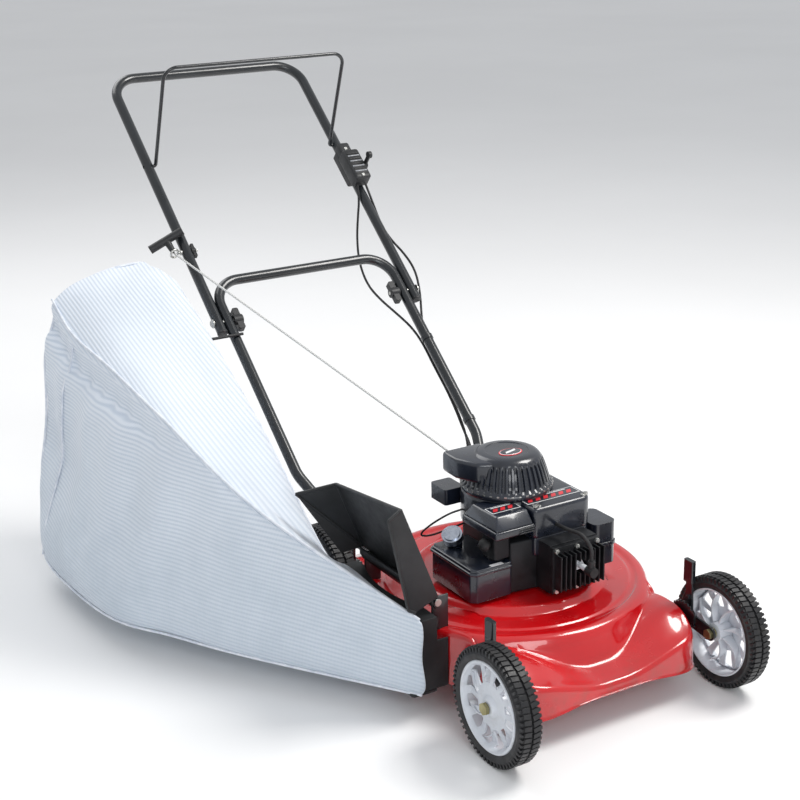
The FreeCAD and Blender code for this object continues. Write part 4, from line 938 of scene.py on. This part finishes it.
def decals():
    """White-outlined panel with red stripes across the lid and the fan housing."""
    z_lid, z_fan = 0.3191, 0.3216
    for name, x0, x1, z in (("lid", -0.094, -0.034, z_lid), ("fan", -0.022, 0.092, z_fan)):
        y0, y1 = (0.222, 0.250) if name == "fan" else (0.226, 0.252)
        mid_x, mid_y = (x0 + x1) / 2, (y0 + y1) / 2
        half_x, half_y = (x1 - x0) / 2, (y1 - y0) / 2
        label("decal_edge_" + name, at(mid_x, mid_y, z), half_x, half_y, 0.0003, DECAL_WHITE)
        label("decal_field_" + name, at(mid_x, mid_y, z + 0.0003), half_x - 0.0016, half_y - 0.0016, 0.0002,
              ENGINE)
        stripes = 3 if name == "lid" else 6
        for i in range(stripes):
            x = x0 + (x1 - x0) * (i + 0.8) / (stripes + 0.8)
            lean = Vector((0.0035, half_y * 0.42, 0))
            slab("decal_stripe_%s_%d" % (name, i), at(x, mid_y - 0.002, z + 0.0005), Vector((0.0048, 0, 0)),
                 lean, 0.0002, DECAL_RED, "deck")
        line = at(mid_x, mid_y + half_y * 0.62, z + 0.0005)
        label("decal_line_" + name, line, half_x * 0.7, 0.0011, 0.0002, DECAL_WHITE)


def tank_piece():
    """Fuel tank in two mouldings with a rolled seam, and a pale blank label on its front rim."""
    outline = [(-0.150, 0.214), (-0.140, 0.2045), (-0.070, 0.2045), (-0.067, 0.208), (-0.067, 0.346),
               (-0.140, 0.346), (-0.150, 0.336)]
    made = block("tank_body", outline, 0.1685, 0.2315, 0.009, ENGINE, "deck", 4)
    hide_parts("fuel_tank")
    rim = [(x - (0.003 if x < -0.1 else 0.0), y + (0.003 if y > 0.27 else -0.003)) for x, y in outline]
    block("tank_seam", rim, 0.2205, 0.2265, 0.0022, ENGINE, "deck")
    axis = Vector((-0.42, -0.30, 0.86)).normalized()
    side = axis.orthogonal().normalized()
    other = axis.cross(side)
    seat = at(-0.120, 0.316, 0.252)
    rows = [[seat + axis * h + (side * math.cos(a) + other * math.sin(a)) * 0.0138
             for a in round_angles(40)] for h in (-0.028, -0.001)]
    capped("tank_neck", rows, ENGINE, "deck")
    label("tank_label", at(-0.098, 0.2090, 0.2316), 0.013, 0.0042, 0.0004, DECAL_WHITE)


def ignition_wire():
    """Stop wire's loop from the starter round to the engine's back."""
    route = [at(-0.062, 0.330, 0.290), at(-0.090, 0.350, 0.282), at(-0.118, 0.372, 0.260),
             at(-0.136, 0.390, 0.238), at(-0.138, 0.396, 0.226), at(-0.122, 0.386, 0.226),
             at(-0.098, 0.366, 0.240), at(-0.074, 0.338, 0.260), at(-0.056, 0.320, 0.272)]
    tube_along("stop_wire", route, 0.0018, 10, RUBBER, "deck")


# ---- handle fittings -----------------------------------------------------------------------
def control_piece():
    """Throttle box: rounded body on the left leg with a striped grip panel."""
    u, v, n = along(1, 0) - along(0, 0), along(0, 1) - along(0, 0), along(0, 0, 1) - along(0, 0)

    def handle_block(name, x0, x1, s0, s1, n0, n1, bevel, material):
        centre = along((x0 + x1) / 2, (s0 + s1) / 2, (n0 + n1) / 2)
        half = (u * (x1 - x0) / 2, v * (s1 - s0) / 2, n * (n1 - n0) / 2)
        corners = [[centre + half[0] * a + half[1] * b + half[2] * c
                    for a, b in ((-1, -1), (1, -1), (1, 1), (-1, 1))] for c in (-1, 1)]
        made = capped(name, corners, material, "upper_handle")
        bevelled(made, bevel)
        return made

    body = handle_block("control_body", 0.2135, 0.2545, 0.293, 0.379, 0.008, 0.0435, 0.006, MOULDED)
    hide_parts("control_housing")
    handle_block("control_neck", 0.219, 0.2485, 0.372, 0.411, 0.006, 0.0295, 0.005, MOULDED)
    handle_block("control_saddle", 0.2185, 0.2515, 0.313, 0.403, -0.0148, 0.012, 0.004, MOULDED)
    for i in range(9):
        s = 0.303 + 0.0075 * i
        handle_block("control_rib_%d" % i, 0.219, 0.249, s, s + 0.0035, 0.0430, 0.0450, 0.0008,
                     DECAL_GREY if i % 2 else MOULDED)
    for s in (0.300, 0.392):
        top, crown = (0.0302, 0.0312) if s > 0.35 else (0.0450, 0.0462)
        rows = [[along(0.234 + r * math.cos(a), s + r * math.sin(a), h) for a in round_angles(16)]
                for r, h in ((0.0042, 0.028), (0.0042, top), (0.0030, crown))]
        capped("control_screw_%d" % (s * 1000), rows, ZINC, "upper_handle")


def grip_sleeves():
    """Plugs in the upper handle's lower ends."""
    for side in (1, -1):
        rows = []
        for r, s in ((0.0112, -0.024), (0.0118, -0.026), (0.0112, -0.029), (0.006, -0.030)):
            rows.append([along(side * 0.235 + r * math.cos(a), s, r * math.sin(a))
                         for a in round_angles(32)])
        plug = "leg_plug_left" if side > 0 else "leg_plug_right"
        outward(capped(plug, rows, MOULDED, "upper_handle").data)


def deflector_edges():
    """Rolled rim round the raised hood's free edges, and the flap over its hinge."""
    up = Vector((-0.074, 0.0, 0.189)).normalized()
    out = Vector((-up.z, 0.0, up.x))

    def spot(y, u, o):
        return at(-0.229, y, 0.200) + up * u + out * o

    corners = [spot(0.484, 0.158, 0.062), spot(0.439, 0.157, 0.0), spot(0.189, 0.202, 0.0),
               spot(0.1885, 0.198, 0.027), spot(0.1885, 0.026, 0.056), spot(0.1885, 0.014, 0.046)]
    route = [corners[0]]
    for a, b, c in zip(corners, corners[1:], corners[2:]):
        near_a, near_c = (b.lerp(p, min(0.006 / (p - b).length, 0.4)) for p in (a, c))
        route += [near_a, b, near_c]
    route.append(corners[-1])
    tube_along("hood_rim", route, 0.0030, 12, MOULDED, "deflector")
    rows = [[spot(y, u, o) for u, o in ((-0.007, 0.0085), (0.006, 0.0105), (0.017, 0.006))]
            for y in (0.190, 0.438)]
    verts, faces = grid(rows, False)
    flap = piece("hood_hinge_flap", verts, faces, MOULDED, "deflector")
    finished(flap, ("SOLIDIFY", {"thickness": 0.002, "offset": 0.0}))


THROTTLE_ROUTE = [along(0.222, 0.2904, 0.020), along(0.219, 0.262, 0.006), along(0.218, 0.240, -0.030),
                  along(0.213, 0.206, -0.068), along(0.208, 0.160, -0.098), along(0.204, 0.100, -0.104),
                  along(0.204, 0.042, -0.084), along(0.205, -0.022, -0.052), along(0.207, -0.080, -0.026),
                  along(0.208, -0.130, -0.017), along(0.2075, -0.190, -0.0185),
                  along(0.208, -0.250, -0.0175), along(0.206, -0.306, -0.0185),
                  along(0.202, -0.356, -0.022), at(0.186, 0.716, 0.232), at(0.150, 0.668, 0.240),
                  at(0.112, 0.608, 0.252), at(0.078, 0.546, 0.264), at(0.042, 0.488, 0.282),
                  at(0.006, 0.446, 0.291), at(0.0, 0.4046, 0.292)]
BRAKE_ROUTE = [along(0.246, 0.291, 0.016), along(0.250, 0.250, 0.002), along(0.252, 0.200, -0.012),
               along(0.254, 0.150, -0.010), along(0.262, 0.096, 0.002), along(0.266, 0.046, 0.004),
               along(0.258, -0.006, -0.008), along(0.240, -0.060, -0.020), along(0.222, -0.110, -0.022),
               along(0.216, -0.160, -0.023), along(0.215, -0.215, -0.0245), along(0.214, -0.270, -0.024),
               along(0.211, -0.325, -0.025), along(0.204, -0.372, -0.027), at(0.170, 0.702, 0.222),
               at(0.142, 0.640, 0.228), at(0.116, 0.580, 0.242), at(0.098, 0.516, 0.260),
               at(0.080, 0.462, 0.273), at(0.076, 0.430, 0.276), at(0.076, 0.4004, 0.276)]
ROPE_EXIT, ROPE_EYE = at(-0.072, 0.366, 0.372), along(-0.262, 0.190)
ROPE_ROUTE = [ROPE_EXIT.lerp(ROPE_EYE, share) for share in (0, 0.25, 0.5, 0.75, 1)]


def cables():
    """Throttle and brake cables and the starter rope."""
    for node, route, radius, finish, slot, stiffness, lay in (
            ("throttle_cable", THROTTLE_ROUTE, 0.0026, RUBBER, "black_rubber", "stiff", "hanging"),
            ("brake_cable", BRAKE_ROUTE, 0.0026, RUBBER, "black_rubber", "stiff", "hanging"),
            ("starter_rope", ROPE_ROUTE, 0.0022, ROPE, "rope_fibre", "limp", "taut")):
        made, line, length = tube_along(node + "_line", route, radius, 12, finish, None)
        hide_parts(node)
        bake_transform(made)


# ---- grass bag -----------------------------------------------------------------------------
BAG_STATIONS = [
    [(-0.276, 0.174, 0.048), (-0.276, 0.448, 0.048), (-0.276, 0.448, 0.186), (-0.276, 0.311, 0.187),
     (-0.276, 0.174, 0.186), (-0.276, 0.172, 0.117)],
    [(-0.470, 0.455, 0.052), (-0.290, 0.478, 0.052), (-0.290, 0.478, 0.192), (-0.345, 0.468, 0.245),
     (-0.412, 0.455, 0.298), (-0.448, 0.450, 0.180)],
    [(-0.552, 0.598, 0.054), (-0.290, 0.610, 0.054), (-0.288, 0.606, 0.276), (-0.380, 0.600, 0.342),
     (-0.482, 0.592, 0.388), (-0.524, 0.592, 0.220)],
    [(-0.618, 0.715, 0.054), (-0.290, 0.740, 0.054), (-0.287, 0.740, 0.372), (-0.390, 0.725, 0.415),
     (-0.508, 0.700, 0.440), (-0.568, 0.700, 0.245)],
    [(-0.640, 0.900, 0.056), (-0.292, 0.910, 0.056), (-0.288, 0.890, 0.458), (-0.370, 0.890, 0.498),
     (-0.526, 0.890, 0.486), (-0.592, 0.880, 0.265)],
    [(-0.636, 1.050, 0.062), (-0.298, 1.080, 0.062), (-0.288, 1.050, 0.528), (-0.352, 1.040, 0.594),
     (-0.540, 1.050, 0.512), (-0.572, 1.045, 0.280)],
    [(-0.604, 1.128, 0.120), (-0.322, 1.150, 0.120), (-0.318, 1.180, 0.572), (-0.360, 1.190, 0.600),
     (-0.538, 1.165, 0.560), (-0.566, 1.150, 0.330)],
]
# across the ribs, on the bottom, the sides and the top
BAG_RIBS = (Vector((1, 0, 0)), Vector((0, -0.10, 1)), Vector((0.80, -0.18, 0.60)))
RIDGE_SHARE, SIDE_SHARE, TUCK_SHARE = 0.40, 0.64, 0.684       # shares of the way round the bag
BAG_SHARES = (0.0, 0.20, RIDGE_SHARE, 0.52, SIDE_SHARE, 0.86)    # at each corner


def spline_point(points, t):
    """Catmull-Rom point at t from 0 to 1 through the points."""
    span = t * (len(points) - 1)
    i = min(int(span), len(points) - 2)
    f = span - i
    p1, p2 = points[i], points[i + 1]
    p0 = points[i - 1] if i else p1 * 2 - p2
    p3 = points[i + 2] if i + 2 < len(points) else p2 * 2 - p1
    return 0.5 * ((2 * p1) + (p2 - p0) * f + (2 * p0 - 5 * p1 + 4 * p2 - p3) * f * f
                  + (3 * p1 - p0 - 3 * p2 + p3) * f ** 3)


def bag_ring(t):
    """One ring of the bag's cloth at t along it, with bowed sides between its sewn corners."""
    corners = [spline_point([at(*station[k]) for station in BAG_STATIONS], t) for k in range(6)]
    centre = sum(corners, Vector()) / 6
    ring = []
    for j in range(BAG_AROUND):
        share = j / BAG_AROUND
        k = max(i for i in range(6) if BAG_SHARES[i] <= share + 1e-9)
        stop = BAG_SHARES[k + 1] if k < 5 else 1.0
        f = (share - BAG_SHARES[k]) / (stop - BAG_SHARES[k])
        a, b = corners[k], corners[(k + 1) % 6]
        p = a.lerp(b, f)
        if k in (2, 3, 4, 5):
            before, after = corners[k - 1], corners[(k + 2) % 6]
            curve = 0.5 * ((2 * a) + (b - before) * f + (2 * before - 5 * a + 4 * b - after) * f * f
                           + (3 * a - before - 3 * b + after) * f ** 3)
            p = p.lerp(curve, 0.55)
        bow = math.sin(math.pi * f) * smooth_step(0.0, 0.25, t)
        out = (p - centre).normalized()
        p = p + out * bow * (0.006 if k in (0, 1) else 0.004)
        ring.append(p)
    return ring, centre


def bag_piece():
    """Sewn cloth bag: bowed and creased rings, its gathered flap, and taped seams."""
    rings, centres = [], []
    for i in range(BAG_RINGS + 1):
        ring, centre = bag_ring(i / BAG_RINGS)
        rings.append(ring)
        centres.append(centre)
    last = rings[-1]
    back = sum(last, Vector()) / len(last) + Vector((0, 0.020, 0.0))
    for share in (0.10, 0.24, 0.42, 0.62, 0.82, 0.95):
        swell = Vector((0, 0.022 * math.sqrt(1 - (1 - share) ** 2), 0))
        rings.append([p.lerp(back, share) + swell * (1 - share) for p in last])
        centres.append(back)
    for i, ring in enumerate(rings):
        t = min(i / BAG_RINGS, 1.0)
        loose = smooth_step(0.03, 0.35, t)
        for j, p in enumerate(ring):
            share = j / BAG_AROUND
            out = (p - centres[i]).normalized()
            seam = min(abs(share - s) for s in (0.0, RIDGE_SHARE, SIDE_SHARE, 1.0))
            slack = smooth_step(0.0, 0.05, seam)
            q = p - at(0, 0, 0)
            fold = noise.noise(Vector((q.y * 3.2, q.x * 3.0, q.z * 6.5)))
            crease = 1 - abs(noise.noise(Vector((q.y * 7 + q.z * 5, q.x * 6, q.z * 11 - q.y * 6)))) * 2
            drape = math.sin(q.z * 26 + 5 * q.y + 2.5 * fold) * 0.5
            push = (0.0085 * fold + 0.0040 * crease + 0.0022 * drape) * slack * loose
            if SIDE_SHARE < share < 0.98:
                down_side = (share - SIDE_SHARE) / 0.34
                wave = noise.noise(Vector((q.y * 11, 0.0, q.z * 1.6)))
                push += 0.017 * wave * math.sin(math.pi * down_side) * loose
            if share > SIDE_SHARE:
                tuck = math.exp(-((share - TUCK_SHARE) / 0.026) ** 2) * smooth_step(0.36, 0.62, t)
                gather = 0.5 + 0.5 * math.sin(q.y * 110 + 3 * fold)
                push -= tuck * (0.024 + 0.007 * gather)
            flap = math.exp(-((share - SIDE_SHARE) / 0.016) ** 2) * smooth_step(0.40, 0.60, t)
            ring[j] = p + out * (push + 0.012 * flap) - Vector((0, 0, 0.016 * flap))
    verts, faces = grid(rings, True, False, True)
    rows, around = len(rings), BAG_AROUND
    down = [0.0]
    for i in range(1, rows):
        step = sum((rings[i][j] - rings[i - 1][j]).length for j in range(0, around, 8)) / (around / 8)
        down.append(down[-1] + step)
    uvs = []
    for i in range(rows - 1):
        for j in range(around):
            share = j / around
            across = BAG_RIBS[0] if share < BAG_SHARES[1] else BAG_RIBS[1]
            if BAG_SHARES[2] <= share < BAG_SHARES[4]:
                across = BAG_RIBS[2]
            for a, b in ((i, j), (i, (j + 1) % around), (i + 1, (j + 1) % around), (i + 1, j)):
                uvs.append((down[a], rings[a][b].dot(across)))
    uvs += [(down[-1], rings[-1][j].z) for j in range(around)]
    made = piece("bag_cloth_shell", verts, faces, CLOTH, None, 70.0, uvs)
    centre_face = made.data.polygons[BAG_AROUND * 40 + 8]
    if centre_face.normal.dot(centre_face.center - centres[40]) < 0:
        made.data.flip_normals()
    finished(made, ("SUBSURF", {"levels": 1, "render_levels": 1}),
             ("SOLIDIFY", {"thickness": BAG_THICKNESS, "offset": -1.0}))
    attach(made, "bag")
    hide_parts("bag")
    for name, share in (("bottom", 0.0), ("ridge", RIDGE_SHARE), ("side", SIDE_SHARE)):
        j = round(share * BAG_AROUND) % BAG_AROUND
        route = [ring[j] + (ring[j] - c).normalized() * 0.0012
                 for ring, c in zip(rings[:BAG_RINGS + 1:6], centres[::6])]
        tube_along("bag_seam_" + name, route, 0.0026, 10, SEAM, "bag")
    seam_ring, middle_of_ring = rings[BAG_RINGS - 16], centres[BAG_RINGS - 16]
    upright = [p + (p - middle_of_ring).normalized() * 0.0035
               for p in seam_ring[round(0.66 * BAG_AROUND)::4]]
    tube_along("bag_seam_upright", upright, 0.0022, 8, SEAM, "bag")
    rim = rings[BAG_RINGS][::6]
    tube_along("bag_seam_back", rim + rim[:1], 0.0026, 10, SEAM, "bag")
    return made


# ---- stage ---------------------------------------------------------------------------------
def stage():
    """Camera, pale floor and three soft lights."""
    scene = bpy.context.scene
    azimuth, elevation, roll = (math.radians(a) for a in (CAMERA_AZIMUTH, CAMERA_ELEVATION, CAMERA_ROLL))
    back = Vector((math.sin(azimuth) * math.cos(elevation), -math.cos(azimuth) * math.cos(elevation),
                   math.sin(elevation)))
    level = Vector((math.cos(azimuth), math.sin(azimuth), 0))
    upright = back.cross(level)
    right = level * math.cos(roll) + upright * math.sin(roll)
    up = upright * math.cos(roll) - level * math.sin(roll)
    lens = bpy.data.cameras.new("camera")
    lens.lens = CAMERA_LENS
    lens.shift_y = CAMERA_SHIFT
    lens.clip_end = FAR_CLIP
    camera = bpy.data.objects.new("camera", lens)
    turn = Matrix((right, up, back)).transposed().to_4x4()
    camera.matrix_world = Matrix.Translation(at(*CAMERA_PLACE)) @ turn
    scene.collection.objects.link(camera)
    scene.camera = camera
    scene.view_settings.view_transform = "Standard"
    scene.view_settings.look = "None"

    mesh = bpy.data.meshes.new("floor")
    corners = [(x * FLOOR_HALF, y * FLOOR_HALF, 0) for x, y in ((-1, -1), (1, -1), (1, 1), (-1, 1))]
    mesh.from_pydata(corners, [], [(0, 1, 2, 3)])
    f = Finish("pale_floor", rough=0.7)
    f.colours((0.90, 0.90, 0.90), (0.93, 0.93, 0.93), 0.6)
    mesh.materials.append(f.material)
    floor = bpy.data.objects.new("floor", mesh)
    scene.collection.objects.link(floor)

    world = bpy.data.worlds.new("studio")
    world.use_nodes = True
    world.node_tree.nodes["Background"].inputs[0].default_value = (0.95, 0.97, 1.0, 1)
    world.node_tree.nodes["Background"].inputs[1].default_value = 0.60
    scene.world = world
    aim = at(-0.05, 0.6, 0.35)
    for name, place, size, power, tint in (
            ("key", (1.7, -0.3, 3.0), 1.3, 76, (1.0, 0.98, 0.95)),
            ("front", (-1.0, -3.0, 2.0), 1.6, 34, (0.96, 0.98, 1.0)),
            ("back", (-0.6, 3.2, 2.8), 2.2, 34, (1.0, 1.0, 1.0))):
        light = bpy.data.lights.new(name, "AREA")
        light.size, light.energy, light.color = size, power, tint
        lamp = bpy.data.objects.new(name, light)
        spot = at(*place)
        turn = (aim - spot).to_track_quat("-Z", "Y").to_matrix().to_4x4()
        lamp.matrix_world = Matrix.Translation(spot) @ turn
        scene.collection.objects.link(lamp)


# ---- make it all ---------------------------------------------------------------------------
stage()
cables()
finish_cad_nodes()
for corner_name in CORNERS:
    tyre_piece(corner_name)
    rim_piece(corner_name)
deck_piece()
dome_piece()
badge()
blower_piece()
cleaner_piece()
decals()
tank_piece()
ignition_wire()
control_piece()
deflector_edges()
grip_sleeves()
bag_piece()
